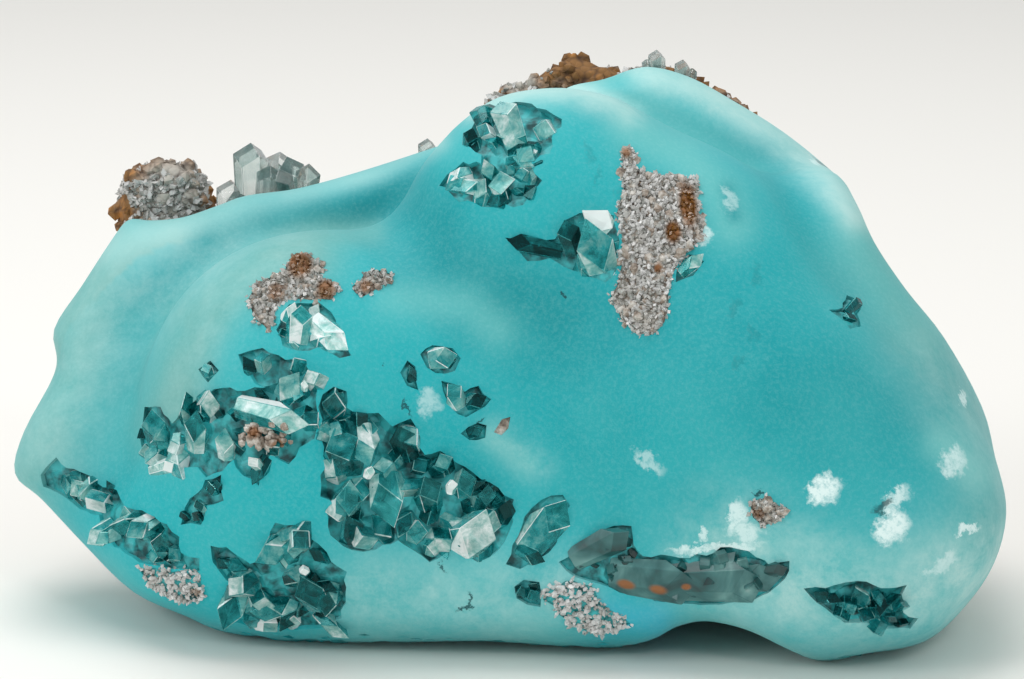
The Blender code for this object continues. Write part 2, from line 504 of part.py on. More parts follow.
def on_matrix(places):
    """The points at a height over the limonite's top; places are (x, y) from the middle and that height."""
    points = np.array(places) + (*MIDDLE[:2], 0.0)
    heights = points[:, 2].copy()
    points[:, 2] = HIGHEST[2]
    points[:, 2] -= first_inside(matrix_distance, points, DOWN, HIGHEST[2]) - heights
    return points


def outward(points):
    """Mean direction in which the crust faces at the points."""
    slope = [crust_distance(points + axis) - crust_distance(points - axis) for axis in np.eye(3) * 0.3]
    normal = np.stack(slope, axis=1)
    normal = (normal / np.linalg.norm(normal, axis=1)[:, None]).mean(axis=0)
    return normal / np.linalg.norm(normal)


def moved_loop(loop, width):
    """The closed loop moved outwards by a width, or inwards where that is negative."""
    after = np.roll(loop, -1, axis=0) - loop
    turning = np.sign(np.sum(loop[:, 0] * np.roll(loop, -1, axis=0)[:, 1]
                             - loop[:, 1] * np.roll(loop, -1, axis=0)[:, 0]))
    after = after / np.linalg.norm(after, axis=1)[:, None]
    facing = turning * np.stack((after[:, 1], -after[:, 0]), axis=1)
    side = facing + np.roll(facing, 1, axis=0)
    length = np.linalg.norm(side, axis=1)[:, None]
    return loop + side / length * width * np.minimum(2 / length, 1.5)


class Patch:
    """A patch of a solid's surface in which crystals stand."""

    def __init__(self, distance, rim, normal):
        self.distance, self.normal = distance, normal
        self.middle = rim.mean(axis=0)
        level = np.cross(np.array((0.0, 1.0, 0.0)), normal)
        self.side = level / np.linalg.norm(level)
        self.rise = np.cross(normal, self.side)
        self.loop = self.flat(rim)

    def flat(self, points):
        """Places in the patch's plane under the points."""
        return (points - self.middle) @ np.stack((self.side, self.rise), axis=1)

    def at(self, flat, height):
        """Points over places in the patch's plane, at heights over that plane."""
        return self.middle + flat @ np.stack((self.side, self.rise)) + height[:, None] * self.normal

    def surface(self, flat):
        """Height of the solid's surface over the patch's plane."""
        starts = self.at(flat, np.full(len(flat), RISE))
        way = first_inside(self.distance, starts, -self.normal, RISE + DEEPEST)
        return RISE - np.where(np.isnan(way), RISE, way)

    def block(self, name, loop, spacing, random, under, over):
        """A solid over the loop: `under` and `over` are heights over the surface, (edge, middle, scatter)."""
        low, high = loop.min(axis=0), loop.max(axis=0)
        grid = np.meshgrid(*[np.arange(a, b, spacing) for a, b in zip(low, high)])
        grid = np.stack(grid, axis=-1).reshape(-1, 2)
        grid = grid + random.uniform(-GRID_SCATTER, GRID_SCATTER, grid.shape) * spacing
        grid = grid[outline_distance(grid[:, 0], grid[:, 1], loop) < -spacing * GRID_MARGIN]
        flat = [Vector(place) for place in np.vstack((loop, grid))]
        flat, _, faces, _, _, _ = delaunay_2d_cdt(flat, [], [list(range(len(loop)))], 1, 1e-5)
        flat = np.array([tuple(place) for place in flat])
        inner = outline_distance(flat[:, 0], flat[:, 1], loop) < -EDGE_WIDTH
        surface = self.surface(flat)
        levels = []
        for edge, middle, scatter in (under, over):
            uneven = middle + random.uniform(-1, 1, len(flat)) * scatter
            levels.append(surface + np.where(inner, uneven, edge))
        count = len(flat)
        edges = {(a, b) for face in faces for a, b in zip(face, face[1:] + face[:1])}
        solid = [list(face) for face in faces]
        solid += [[corner + count for corner in face] for face in faces]
        solid += [[a, b, b + count, a + count] for a, b in edges if (b, a) not in edges]
        return make_object(name, np.vstack([self.at(flat, level) for level in levels]), solid)


def crystal(name, foot, tip, width, thickness, flat_side, twist, shoulder):
    """A six-sided crystal that narrows to foot and tip from its shoulder, thinned along `flat_side`."""
    along = tip - foot
    length = np.linalg.norm(along)
    along = along / length
    thin = flat_side - along * (flat_side @ along)
    thin = thin / np.linalg.norm(thin)
    wide = np.cross(along, thin)
    points = [foot, tip]
    for corner in range(6):
        angle = math.radians(60 * corner) + twist
        share = shoulder + ZIGZAG * (-1) ** corner
        points.append(foot + along * length * share
                      + wide * math.cos(angle) * width / 2 + thin * math.sin(angle) * thickness / 2)
    faces = []
    for corner in range(6):
        here, there = 2 + corner, 2 + (corner + 1) % 6
        faces += [[0, there, here], [1, here, there]]
    return make_object(name, points, faces)


def joined(obj, others, operation):
    """Applies a boolean operation with each of the other objects, and removes those."""
    for other in others:
        modifier = obj.modifiers.new("Boolean", "BOOLEAN")
        modifier.operation, modifier.solver, modifier.object = operation, "EXACT", other
    evaluated(obj)
    for other in others:
        bpy.data.objects.remove(other)


def tidied(obj):
    """Keeps the largest body of the mesh, without edges too short to matter."""
    shape = bmesh.new()
    shape.from_mesh(obj.data)
    bmesh.ops.remove_doubles(shape, verts=shape.verts, dist=SHORTEST * MM)
    bmesh.ops.dissolve_degenerate(shape, edges=shape.edges, dist=SHORTEST * MM)
    bmesh.ops.triangulate(shape, faces=shape.faces)
    bodies, waiting = [], set(shape.faces)
    while waiting:
        body, open_ends = set(), [waiting.pop()]
        while open_ends:
            face = open_ends.pop()
            body.add(face)
            linked = {other for edge in face.edges for other in edge.link_faces} & waiting
            waiting -= linked
            open_ends += linked
        bodies.append(body)
    largest = max(bodies, key=len)
    bmesh.ops.delete(shape, geom=[face for face in shape.faces if face not in largest], context="FACES")
    bmesh.ops.recalc_face_normals(shape, faces=shape.faces)
    shape.to_mesh(obj.data)
    shape.free()


def crystal_patch(name, patch, seed, depth, crystals, spikes, crust_like, shoulder):
    """Builds what stands in a patch; returns the cutter that makes room for it."""
    random = np.random.default_rng(seed)
    if crust_like:
        spacing, over = crust_like[0], (0.1, crust_like[1] * 0.5, crust_like[1] * 0.5)
    else:
        spacing, over = BED_SPACING, (BED_EDGE - depth, BED_MIDDLE - depth, BED_SCATTER)
    under = (BED_LIFT - depth, BED_LIFT - depth, 0.0)
    body = patch.block(name, patch.loop, spacing, random, under, over)
    parts = []
    for foot, tip, (width, thickness) in crystals:
        parts.append(crystal("crystal", foot, tip, width, thickness, patch.normal,
                             random.uniform(0, 1), shoulder))
    count, length, width = spikes
    low, high = patch.loop.min(axis=0), patch.loop.max(axis=0)
    while len(parts) < count + len(crystals):
        flat = random.uniform(low, high)[None]
        if outline_distance(flat[:, 0], flat[:, 1], patch.loop)[0] > -width * RIM_MARGIN:
            continue
        lean, way = math.radians(random.uniform(*LEAN)), random.uniform(0, 2 * math.pi)
        across = patch.side * math.cos(way) + patch.rise * math.sin(way)
        along = patch.normal * math.cos(lean) + across * math.sin(lean)
        size = random.uniform(*SIZES)
        foot = patch.at(flat, patch.surface(flat) - depth + ROOT)[0]
        thickness = width * size * random.uniform(*FLATNESS)
        parts.append(crystal("crystal", foot, foot + along * length * size, width * size,
                             thickness, across, random.uniform(0, 1), shoulder))
    if parts:
        group = parts.pop()
        if parts:
            joined(group, parts, "UNION")
        room = patch.block("room", patch.loop, BED_SPACING, random, under, (TALLEST, TALLEST, 0.0))
        joined(group, [room], "INTERSECT")
        joined(body, [group], "UNION")
    tidied(body)
    loop = moved_loop(patch.loop, POCKET_CLEARANCE)
    return patch.block("pocket", loop, BED_SPACING, random, (-depth, -depth, 0.0),
                       (HEADROOM, HEADROOM, 0.0))


def painted(obj, kind):
    """Gives the object its material."""
    colour, roughness, transmission, refraction = MATERIALS[kind]
    material = bpy.data.materials.get(kind) or bpy.data.materials.new(kind)
    material.use_nodes = True
    surface = material.node_tree.nodes["Principled BSDF"]
    surface.inputs["Base Color"].default_value = (*colour, 1.0)
    surface.inputs["Roughness"].default_value = roughness
    surface.inputs["Transmission Weight"].default_value = transmission
    surface.inputs["IOR"].default_value = refraction
    obj.data.materials.clear()
    obj.data.materials.append(material)


def build():
    """Builds the crust and the limonite, and grows the crystals in and on them."""
    for obj in list(bpy.data.objects):
        bpy.data.objects.remove(obj)
    seam_point = placed(0.0, 0.0, SEAM_AWAY)
    seam_normal = AWAY - SEAM_LEAN * UP
    seam_normal = seam_normal / np.linalg.norm(seam_normal)

    crust = make_object("rosasite_crust", *surface_of(crust_distance, LOWEST, HIGHEST, CELL))
    thinned(crust, CRUST_TRIANGLES)
    cut_flat(crust, BASE_POINT, DOWN)
    cut_flat(crust, seam_point, seam_normal)
    pockets = []
    for name, kind, seed, given in PATCHES:
        rim = seen(given["corners"])
        patch = Patch(crust_distance, rim, outward(rim))
        crystals = []
        for foot, tip, size in given.get("crystals", ()):
            foot, tip = seen((foot, tip)) + patch.normal * np.array(((foot[2],), (tip[2],)))
            crystals.append((foot, tip, size))
        pockets.append(crystal_patch(name, patch, seed, given["depth"], crystals,
                                     given.get("spikes", (0, 1.0, 1.0)), given.get("crust_like"),
                                     SHOULDER))
        painted(bpy.data.objects[name], kind)
    joined(crust, pockets, "DIFFERENCE")
    tidied(crust)
    painted(crust, "rosasite")

    lowest = (LOWEST[0], MATRIX_FRONT, LOWEST[2])
    matrix = make_object("limonite_matrix", *surface_of(matrix_distance, lowest, HIGHEST, CELL))
    thinned(matrix, MATRIX_TRIANGLES)
    cut_flat(matrix, BASE_POINT, DOWN)
    cut_flat(matrix, seam_point + seam_normal * GAP, -seam_normal)
    tidied(matrix)
    pockets = []
    for name, seed, given in UPRIGHTS:
        rim = on_matrix([(x, y, 0.0) for x, y in given["corners"]])
        patch = Patch(matrix_distance, rim, -DOWN)
        crystals = []
        for foot, tip, size in given["crystals"]:
            crystals.append((*on_matrix((foot, tip)), size))
        pockets.append(crystal_patch(name, patch, seed, given["depth"], crystals,
                                     given.get("spikes", (0, 1.0, 1.0)), None, UPRIGHT_SHOULDER))
        painted(bpy.data.objects[name], "calcite")
    joined(matrix, pockets, "DIFFERENCE")
    tidied(matrix)
    painted(matrix, "limonite")

    corners = np.array([corner for obj in bpy.data.objects for corner in obj.bound_box])
    centre = (corners.min(axis=0) + corners.max(axis=0)) / 2
    for obj in bpy.data.objects:
        obj.data.transform(Matrix.Translation((-centre[0], -centre[1], 0.0)))


build()
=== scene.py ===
"""Rosasite specimen: a smooth turquoise crust with calcite crystals, grown on brown limonite."""
import json
import math

import bmesh
import bpy
import numpy as np
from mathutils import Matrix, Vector, noise
from mathutils.bvhtree import BVHTree
from mathutils.geometry import delaunay_2d_cdt

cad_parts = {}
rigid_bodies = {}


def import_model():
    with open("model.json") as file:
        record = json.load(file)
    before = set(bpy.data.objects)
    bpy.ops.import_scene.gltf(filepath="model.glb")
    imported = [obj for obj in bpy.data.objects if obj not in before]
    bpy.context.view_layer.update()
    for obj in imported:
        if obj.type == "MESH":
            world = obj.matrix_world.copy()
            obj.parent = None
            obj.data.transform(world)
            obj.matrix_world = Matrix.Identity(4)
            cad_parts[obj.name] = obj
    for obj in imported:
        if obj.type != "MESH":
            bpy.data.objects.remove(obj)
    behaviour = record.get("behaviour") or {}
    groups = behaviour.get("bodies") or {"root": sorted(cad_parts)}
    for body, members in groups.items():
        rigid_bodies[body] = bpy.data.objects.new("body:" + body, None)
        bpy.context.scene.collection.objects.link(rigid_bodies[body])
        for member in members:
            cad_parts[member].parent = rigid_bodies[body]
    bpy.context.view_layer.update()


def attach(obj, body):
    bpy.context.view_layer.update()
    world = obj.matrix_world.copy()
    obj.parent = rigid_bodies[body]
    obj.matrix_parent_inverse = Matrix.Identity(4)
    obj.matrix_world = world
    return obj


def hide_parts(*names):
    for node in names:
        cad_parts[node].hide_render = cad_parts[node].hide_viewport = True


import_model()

# Rosasite crust
# A smooth, velvety turquoise skin of rosasite, grown as one lobed mass. Millions of upright fibres end
# in its surface, so it looks soft and dull. It was broken off behind and below, and crystals pit it.

MM = 0.001

# The show face is laid out as it is seen from a little above the horizon: across and up on a plane
# square to that line of sight through the middle of the specimen, and away behind that plane, in mm
SIGHT_TILT = math.radians(12.0)
SIGHT_DISTANCE = 430.0
MIDDLE = np.array((0.8, 2.2, 27.5))
RIGHT = np.array((1.0, 0.0, 0.0))
AWAY = np.array((0.0, math.cos(SIGHT_TILT), -math.sin(SIGHT_TILT)))
UP = np.array((0.0, math.sin(SIGHT_TILT), math.cos(SIGHT_TILT)))

# Silhouette of the crust, clockwise from the left knob: (across, up)
OUTLINE = (
    (-40.0, 10.0), (-38.4, 12.0), (-36.2, 11.9), (-33.0, 12.2), (-29.4, 13.4), (-26.5, 14.4),
    (-21.0, 15.2), (-13.5, 17.4),
    (-8.5, 19.6), (-5.5, 22.0), (-1.5, 24.6), (4.0, 25.6), (9.0, 26.0), (13.5, 27.8),
    (18.0, 26.9), (22.5, 24.2), (27.5, 21.2), (32.0, 17.6), (34.5, 13.5), (36.3, 9.6),
    (39.4, 5.0), (43.2, 0.2), (46.9, -6.5), (48.9, -13.0), (49.5, -17.5), (48.2, -22.4),
    (45.4, -26.6), (41.4, -30.2), (36.0, -31.4), (30.8, -32.3), (27.0, -31.4), (23.2, -29.4),
    (19.4, -28.4), (16.6, -29.0), (13.8, -30.6), (7.0, -30.9), (-2.0, -30.2), (-11.0, -30.3),
    (-20.5, -30.4), (-28.5, -29.4), (-32.6, -27.7), (-37.9, -25.3), (-42.4, -20.9),
    (-47.0, -16.0), (-49.7, -13.4), (-48.8, -9.2), (-45.6, -3.0), (-45.8, 1.0), (-43.0, 5.4),
)
RIM_ROUNDING = 3.0

# Lobes: (across, up, away), (radius across, radius up, radius away), turn in degrees, and the width
# over which the lobe runs into those above it
LOBES = (
    ((6.0, -7.0, 7.0), (41.0, 20.0, 17.0), 0.0, 1.0),       # heart of the mass
    ((24.0, -9.0, -4.0), (24.0, 18.0, 23.0), -32.0, 9.0),   # right belly
    ((34.0, -21.0, -8.0), (17.0, 13.0, 17.0), 14.0, 9.0),   # right foot
    ((-16.0, -20.0, -2.0), (27.0, 13.0, 16.0), 0.0, 9.0),   # left foot
    ((8.0, -21.0, -5.0), (24.0, 12.0, 15.0), 0.0, 9.0),     # front of the base
    ((-3.0, -7.0, -5.0), (16.0, 14.0, 14.0), 0.0, 9.0),     # saddle between the two sides
    ((-19.5, -6.5, -7.5), (17.0, 17.0, 15.5), 35.0, 8.0),   # left front lobe
    ((3.5, 11.0, -4.5), (13.5, 15.2, 14.0), 8.0, 7.0),      # upper dome
    ((16.0, 6.0, -4.0), (13.0, 13.0, 15.0), -30.0, 8.0),    # shoulder of the dome
    ((37.0, 2.0, 3.0), (12.0, 17.0, 15.0), 28.0, 6.0),      # right shoulder
    ((21.0, 15.0, 10.5), (21.0, 9.5, 9.0), -36.0, 3.5),     # ridge behind the dome
    ((-34.0, 1.0, 8.0), (20.0, 13.5, 9.5), 42.0, 5.0),      # left back lobe
    ((-41.0, -12.0, 4.0), (13.0, 12.0, 10.0), 60.0, 6.0),   # left wing
    ((-20.0, 12.5, 11.0), (26.0, 6.0, 7.0), 12.0, 4.0),     # ridge behind the left lobe
)
HOLLOWS = (
    ((20.5, -33.5, -8.0), (8.0, 4.6, 18.0), 0.0, 1.5),      # arch under the base
)

# The crust ends behind on a plane that leans with the height; the limonite starts there
SEAM_AWAY = 12.0
SEAM_LEAN = -0.15

# Pockets in the crust, named for what grows in them: how deep, and the rim's corners (across, up)
POCKETS = {
    "calcite_upper": (1.7, (
        (-3.4, 22.1), (0.3, 23.7), (3.3, 22.9), (4.8, 22.0), (3.6, 18.7), (1.3, 17.8), (2.8, 15.9),
        (1.0, 13.6), (-2.2, 13.4), (-5.2, 13.9), (-7.1, 15.5), (-4.9, 17.6), (-3.0, 17.4),
        (-2.9, 18.6), (-4.6, 19.6))),
    "druse_centre": (1.5, (
        (11.2, 18.9), (12.1, 18.9), (12.4, 17.0), (14.0, 16.3), (18.3, 15.9), (18.5, 13.5),
        (18.9, 10.5), (17.0, 8.6), (15.9, 6.6), (15.5, 3.8), (15.1, 1.8), (13.8, 0.6), (12.6, 0.8),
        (11.0, 2.2), (10.0, 4.2), (10.9, 6.5), (11.2, 10.0), (10.6, 12.5), (11.4, 14.5), (11.0, 16.5))),
    "calcite_centre": (1.6, (
        (-0.5, 10.1), (4.4, 9.9), (5.4, 11.8), (6.8, 12.5), (8.8, 12.7), (10.0, 12.3), (10.6, 9.8),
        (10.3, 7.0), (9.3, 5.9), (7.8, 6.4), (6.0, 7.1), (3.8, 8.3), (1.6, 8.0))),
    "calcite_fin": (1.2, (
        (17.7, 8.4), (19.0, 7.8), (18.0, 6.5), (16.5, 5.9), (16.6, 6.8))),
    "druse_left": (1.4, (
        (-21.6, 8.5), (-20.3, 8.5), (-19.3, 7.6), (-19.1, 6.0), (-17.5, 5.0), (-18.2, 4.1),
        (-21.0, 4.2), (-22.8, 4.0), (-23.8, 3.0), (-24.2, 0.8), (-25.4, 2.0), (-26.3, 4.0),
        (-25.6, 5.4), (-24.0, 6.2), (-22.6, 6.7))),
    "calcite_left_blade": (1.5, (
        (-22.2, 3.4), (-19.4, 3.6), (-17.8, 2.0), (-16.3, -1.5), (-17.2, -1.7), (-19.4, -0.6),
        (-21.2, -1.0), (-22.8, -0.5), (-23.4, 1.0), (-23.0, 2.4))),
    "druse_chip": (0.9, (
        (-15.6, 4.8), (-15.8, 5.3), (-14.7, 6.4), (-13.8, 6.9), (-12.2, 6.5), (-12.6, 5.7),
        (-14.0, 4.9), (-15.0, 4.4))),
    "calcite_left_field": (1.7, (
        (-27.2, -1.6), (-25.0, -1.0), (-22.7, -2.2), (-20.9, -2.4), (-19.4, -4.0), (-19.8, -6.0),
        (-19.4, -8.0), (-19.9, -9.8), (-21.4, -10.7), (-22.4, -12.3), (-24.2, -11.2), (-25.4, -14.4),
        (-26.8, -13.5), (-27.8, -11.8), (-29.0, -13.0), (-30.6, -13.6), (-31.4, -12.6), (-36.2, -13.0),
        (-37.1, -10.0), (-36.7, -6.9), (-35.2, -6.9), (-34.0, -8.6), (-33.0, -7.2), (-31.2, -5.9),
        (-29.0, -5.0), (-26.7, -5.3), (-24.7, -4.9), (-26.2, -3.3))),
    "calcite_chain": (1.3, (
        (-30.6, -14.2), (-29.2, -13.7), (-29.0, -16.0), (-30.8, -16.5), (-31.2, -18.4), (-33.0, -18.4),
        (-32.6, -16.9), (-31.4, -15.5))),
    "calcite_main_cluster": (2.0, (
        (-18.8, -5.6), (-17.8, -4.9), (-16.7, -5.3), (-16.7, -6.9), (-15.2, -7.9), (-13.4, -7.5),
        (-12.0, -8.9), (-10.2, -8.1), (-8.8, -11.7), (-7.2, -11.3), (-3.2, -14.1), (0.0, -16.1),
        (-0.4, -19.1), (-1.4, -20.9), (-3.4, -22.1), (-6.0, -20.6), (-8.2, -22.1), (-11.4, -19.9),
        (-13.7, -20.9), (-16.0, -20.9), (-18.0, -19.5), (-18.4, -17.1), (-17.6, -16.3), (-19.0, -15.6),
        (-19.0, -13.6), (-18.4, -12.3), (-18.9, -10.0), (-18.8, -8.0), (-19.2, -6.8))),
    "calcite_lower_left": (1.5, (
        (-47.0, -13.6), (-45.6, -12.0), (-44.6, -13.0), (-43.2, -13.4), (-41.6, -14.5), (-39.6, -15.2),
        (-38.8, -16.8), (-36.4, -17.6), (-34.6, -18.6), (-33.4, -19.8), (-33.2, -21.4), (-31.4, -22.0),
        (-31.4, -23.0), (-34.2, -22.8), (-36.6, -22.3), (-38.6, -21.3), (-40.2, -20.0), (-41.0, -18.6),
        (-41.2, -17.4), (-43.2, -16.8), (-45.4, -15.2), (-46.8, -14.6))),
    "druse_lower_left": (1.1, (
        (-37.2, -23.0), (-35.8, -23.0), (-34.0, -23.4), (-31.3, -23.6), (-31.0, -25.6), (-31.8, -26.2),
        (-34.2, -25.6), (-36.2, -24.4))),
    "calcite_lower_cluster": (1.6, (
        (-23.6, -18.5), (-21.6, -18.7), (-19.4, -20.6), (-18.2, -22.3), (-16.7, -23.3), (-16.8, -25.5),
        (-17.2, -27.8), (-19.2, -28.8), (-21.6, -29.0), (-25.0, -28.6), (-28.2, -28.2), (-28.9, -26.6),
        (-27.6, -24.6), (-29.8, -22.2), (-30.0, -20.8), (-28.6, -20.9), (-26.2, -22.6), (-24.4, -22.3),
        (-24.2, -20.2))),
    "calcite_blade": (1.4, (
        (-0.4, -22.4), (0.2, -20.6), (1.4, -17.8), (3.0, -16.2), (5.0, -15.7), (5.6, -16.6),
        (4.6, -19.2), (3.6, -21.2), (2.4, -22.4), (0.8, -22.8))),
    "calcite_base_slab": (1.3, (
        (4.9, -22.3), (7.8, -20.1), (10.2, -18.8), (11.8, -18.8), (12.0, -20.6), (13.0, -21.8),
        (17.8, -22.0), (21.8, -20.9), (23.6, -21.3), (25.8, -22.9), (27.6, -22.3), (27.2, -23.8),
        (25.6, -25.2), (23.4, -26.2), (20.8, -26.4), (17.8, -26.3), (14.3, -26.0), (11.8, -25.4),
        (8.0, -24.1), (6.3, -23.6))),
    "druse_base": (1.2, (
        (3.4, -25.2), (5.4, -24.3), (7.8, -24.7), (8.4, -26.2), (10.0, -27.3), (11.6, -28.4),
        (10.2, -29.2), (8.2, -29.2), (5.8, -28.4), (4.8, -27.4), (4.3, -26.5), (3.3, -26.0))),
    "calcite_base_left": (1.2, (
        (0.4, -24.8), (1.2, -24.2), (2.6, -24.4), (2.8, -25.4), (2.7, -26.6), (1.6, -26.4),
        (0.6, -25.8))),
    "calcite_lower_right": (1.5, (
        (29.4, -25.0), (32.3, -24.7), (34.6, -24.3), (36.8, -25.0), (39.3, -24.7), (38.6, -26.0),
        (39.0, -27.4), (40.4, -28.0), (39.8, -28.8), (38.4, -28.8), (36.9, -28.8), (35.6, -28.2),
        (33.3, -28.2), (32.2, -27.4), (30.6, -26.2))),
    "calcite_single_left": (0.8, (
        (-31.2, -3.0), (-30.2, -2.3), (-29.5, -3.1), (-30.4, -4.1))),
    "calcite_single_upper": (1.0, (
        (-9.0, -1.5), (-7.9, -0.7), (-6.0, -1.0), (-5.3, -1.9), (-5.8, -3.0), (-7.6, -3.2),
        (-8.4, -2.7))),
    "calcite_single_slim": (0.9, (
        (-11.0, -3.3), (-10.4, -2.3), (-9.8, -2.8), (-9.8, -3.9), (-9.5, -4.9), (-10.4, -4.5))),
    "calcite_pair": (1.0, (
        (-6.9, -4.3), (-5.8, -4.6), (-4.7, -5.4), (-3.4, -4.8), (-2.3, -6.0), (-3.4, -6.9),
        (-4.6, -7.6), (-5.9, -6.8), (-6.5, -5.7))),
    "calcite_single_lower": (0.9, (
        (-4.9, -9.4), (-4.3, -8.9), (-3.4, -8.5), (-2.7, -8.7), (-2.8, -9.7), (-4.2, -9.9))),
    "limonite_flake": (0.6, (
        (-1.6, -9.2), (-0.9, -8.1), (-0.3, -7.9), (-0.5, -8.8), (-1.1, -9.4))),
    "calcite_butterfly": (0.9, (
        (31.9, 2.9), (33.2, 3.1), (33.6, 4.3), (34.9, 3.7), (34.4, 2.6), (34.8, 1.4), (33.8, 1.2),
        (33.0, 2.1))),
    "druse_pit": (1.2, (
        (24.0, -16.6), (25.3, -16.1), (27.3, -16.9), (26.3, -18.0), (25.2, -18.5), (24.2, -17.7))),
}
POCKET_CLEARANCE = 0.15
LOWEST, HIGHEST = (-56.0, -44.0, -14.0), (56.0, 40.0, 64.0)
CRUST_CELL = 1.25
BASE_POINT, DOWN = np.zeros(3), np.array((0.0, 0.0, -1.0))
RISE, DEEPEST = 10.0, 12.0


def in_sight(points):
    """Distances (right, up, away) of points from the middle, along the line of sight's axes."""
    return (points - MIDDLE) @ np.stack((RIGHT, UP, AWAY), axis=1)


def placed(across, up, away):
    """The point that is seen at (across, up) and lies that far behind the middle plane."""
    spread = (SIGHT_DISTANCE + away) / SIGHT_DISTANCE
    return MIDDLE + (RIGHT * across + UP * up) * spread + AWAY * away


def smooth_curve(corners, steps):
    """Points of a closed Catmull-Rom curve through the corners, `steps` to each stretch."""
    corners = np.array(corners)
    before, after = np.roll(corners, 1, axis=0), np.roll(corners, -1, axis=0)
    beyond = np.roll(corners, -2, axis=0)
    points = []
    for share in np.arange(steps) / steps:
        points.append(0.5 * (
            2 * corners + (after - before) * share
            + (2 * before - 5 * corners + 4 * after - beyond) * share ** 2
            + (3 * corners - before - 3 * after + beyond) * share ** 3
        ))
    return np.stack(points, axis=1).reshape(-1, 2)


# How many points are measured at a time, which keeps the arrays small
BATCH = 4000


def outline_distance(across, up, loop):
    """Distance outside a closed loop of (across, up) points; negative inside."""
    (x0, y0), (x1, y1) = loop.T, np.roll(loop, -1, axis=0).T
    dx, dy = x1 - x0, y1 - y0
    distance = np.empty(len(across))
    for start in range(0, len(across), BATCH):
        x, y = across[start:start + BATCH, None], up[start:start + BATCH, None]
        share = np.clip(((x - x0) * dx + (y - y0) * dy) / (dx * dx + dy * dy), 0, 1)
        gap = (x - x0 - share * dx) ** 2 + (y - y0 - share * dy) ** 2
        crossings = ((y0 > y) != (y1 > y)) & (x < dx * (y - y0) / np.where(dy == 0, 1, dy) + x0)
        side = np.where(crossings.sum(axis=1) % 2, -1.0, 1.0)
        distance[start:start + BATCH] = side * np.sqrt(gap.min(axis=1))
    return distance


def smooth_min(first, second, blend):
    """The smaller of two distances, rounded where they meet."""
    near = np.maximum(blend - np.abs(first - second), 0) / blend
    return np.minimum(first, second) - near * near * blend / 4


def smooth_max(first, second, blend):
    """The larger of two distances, rounded where they meet."""
    return -smooth_min(-first, -second, blend)


def ellipsoid_distance(sight, lobe):
    """Distance outside a lobe, near enough; `sight` holds points along the line of sight's axes."""
    (across, up, away), radii, turn, _ = lobe
    spread = (SIGHT_DISTANCE + away) / SIGHT_DISTANCE
    rel = sight - np.array((across * spread, up * spread, away))
    c, s = math.cos(math.radians(turn)), math.sin(math.radians(turn))
    rel = np.stack((rel[:, 0] * c + rel[:, 1] * s, rel[:, 1] * c - rel[:, 0] * s, rel[:, 2]), axis=1)
    radii = np.array(radii)
    scaled = np.linalg.norm(rel / radii, axis=1)
    slope = np.linalg.norm(rel / radii ** 2, axis=1)
    return scaled * (scaled - 1) / np.maximum(slope, 1e-9)


OUTLINE_LOOP = smooth_curve(OUTLINE, 4)


def beyond_outline(sight):
    """Distance outside the crust's silhouette; `sight` holds points along the line of sight's axes."""
    spread = (SIGHT_DISTANCE + sight[:, 2]) / SIGHT_DISTANCE
    return outline_distance(sight[:, 0] / spread, sight[:, 1] / spread, OUTLINE_LOOP)


def lobes_distance(sight):
    """Distance outside the lobes; `sight` holds points along the line of sight's axes."""
    value = np.full(len(sight), 1e3)
    for lobe in LOBES:
        value = smooth_min(value, ellipsoid_distance(sight, lobe), lobe[3])
    for hollow in HOLLOWS:
        value = smooth_max(value, -ellipsoid_distance(sight, hollow), hollow[3])
    return value


def crust_distance(points):
    """Distance outside the crust, before it is cut off at the base and the seam."""
    sight = in_sight(points)
    return smooth_max(lobes_distance(sight), beyond_outline(sight), RIM_ROUNDING)


def surface_of(distance, low, high, step):
    """Points and quads of the surface where distance(points) is 0, found cell by cell."""
    axes = [np.arange(a, b + step, step) for a, b in zip(low, high)]
    shape = tuple(len(axis) for axis in axes)
    grid = np.stack(np.meshgrid(*axes, indexing="ij"), axis=-1).reshape(-1, 3)
    value = np.full(shape, step)
    value[1:-1, 1:-1, 1:-1] = distance(grid).reshape(shape)[1:-1, 1:-1, 1:-1]
    inside = value < 0
    cells = tuple(n - 1 for n in shape)
    filled = np.zeros(cells, int)
    for i, j, k in np.ndindex(2, 2, 2):
        filled += inside[i:i + cells[0], j:j + cells[1], k:k + cells[2]]
    crossed = np.argwhere((filled > 0) & (filled < 8))
    number = np.full(cells, -1)
    number[tuple(crossed.T)] = np.arange(len(crossed))
    total, count = np.zeros((len(crossed), 3)), np.zeros((len(crossed), 1))
    for axis in range(3):
        one = np.eye(3, dtype=int)[axis]
        others = [np.eye(3, dtype=int)[other] for other in range(3) if other != axis]
        for p, q in np.ndindex(2, 2):
            start = crossed + p * others[0] + q * others[1]
            v0, v1 = value[tuple(start.T)], value[tuple((start + one).T)]
            share = np.where((v0 < 0) != (v1 < 0), v0 / (v0 - v1 + (v0 == v1)), np.nan)[:, None]
            hit = ~np.isnan(share)
            total += np.where(hit, start + one * np.nan_to_num(share), 0)
            count += hit
    points = total / count * step + np.array([axis[0] for axis in axes])
    quads = []
    for axis in range(3):
        one = np.eye(3, dtype=int)[axis]
        p, q = [np.eye(3, dtype=int)[other] for other in range(3) if other != axis]
        ahead = np.roll(inside, -1, axis=axis)
        edges = np.argwhere(inside != ahead)
        edges = edges[(edges + one < np.array(shape)).all(axis=1)]
        around = [number[tuple((edges - a * p - b * q).T)] for a, b in ((0, 0), (1, 0), (1, 1), (0, 1))]
        quads.append(np.stack(around, axis=1))
    return points, np.concatenate(quads)


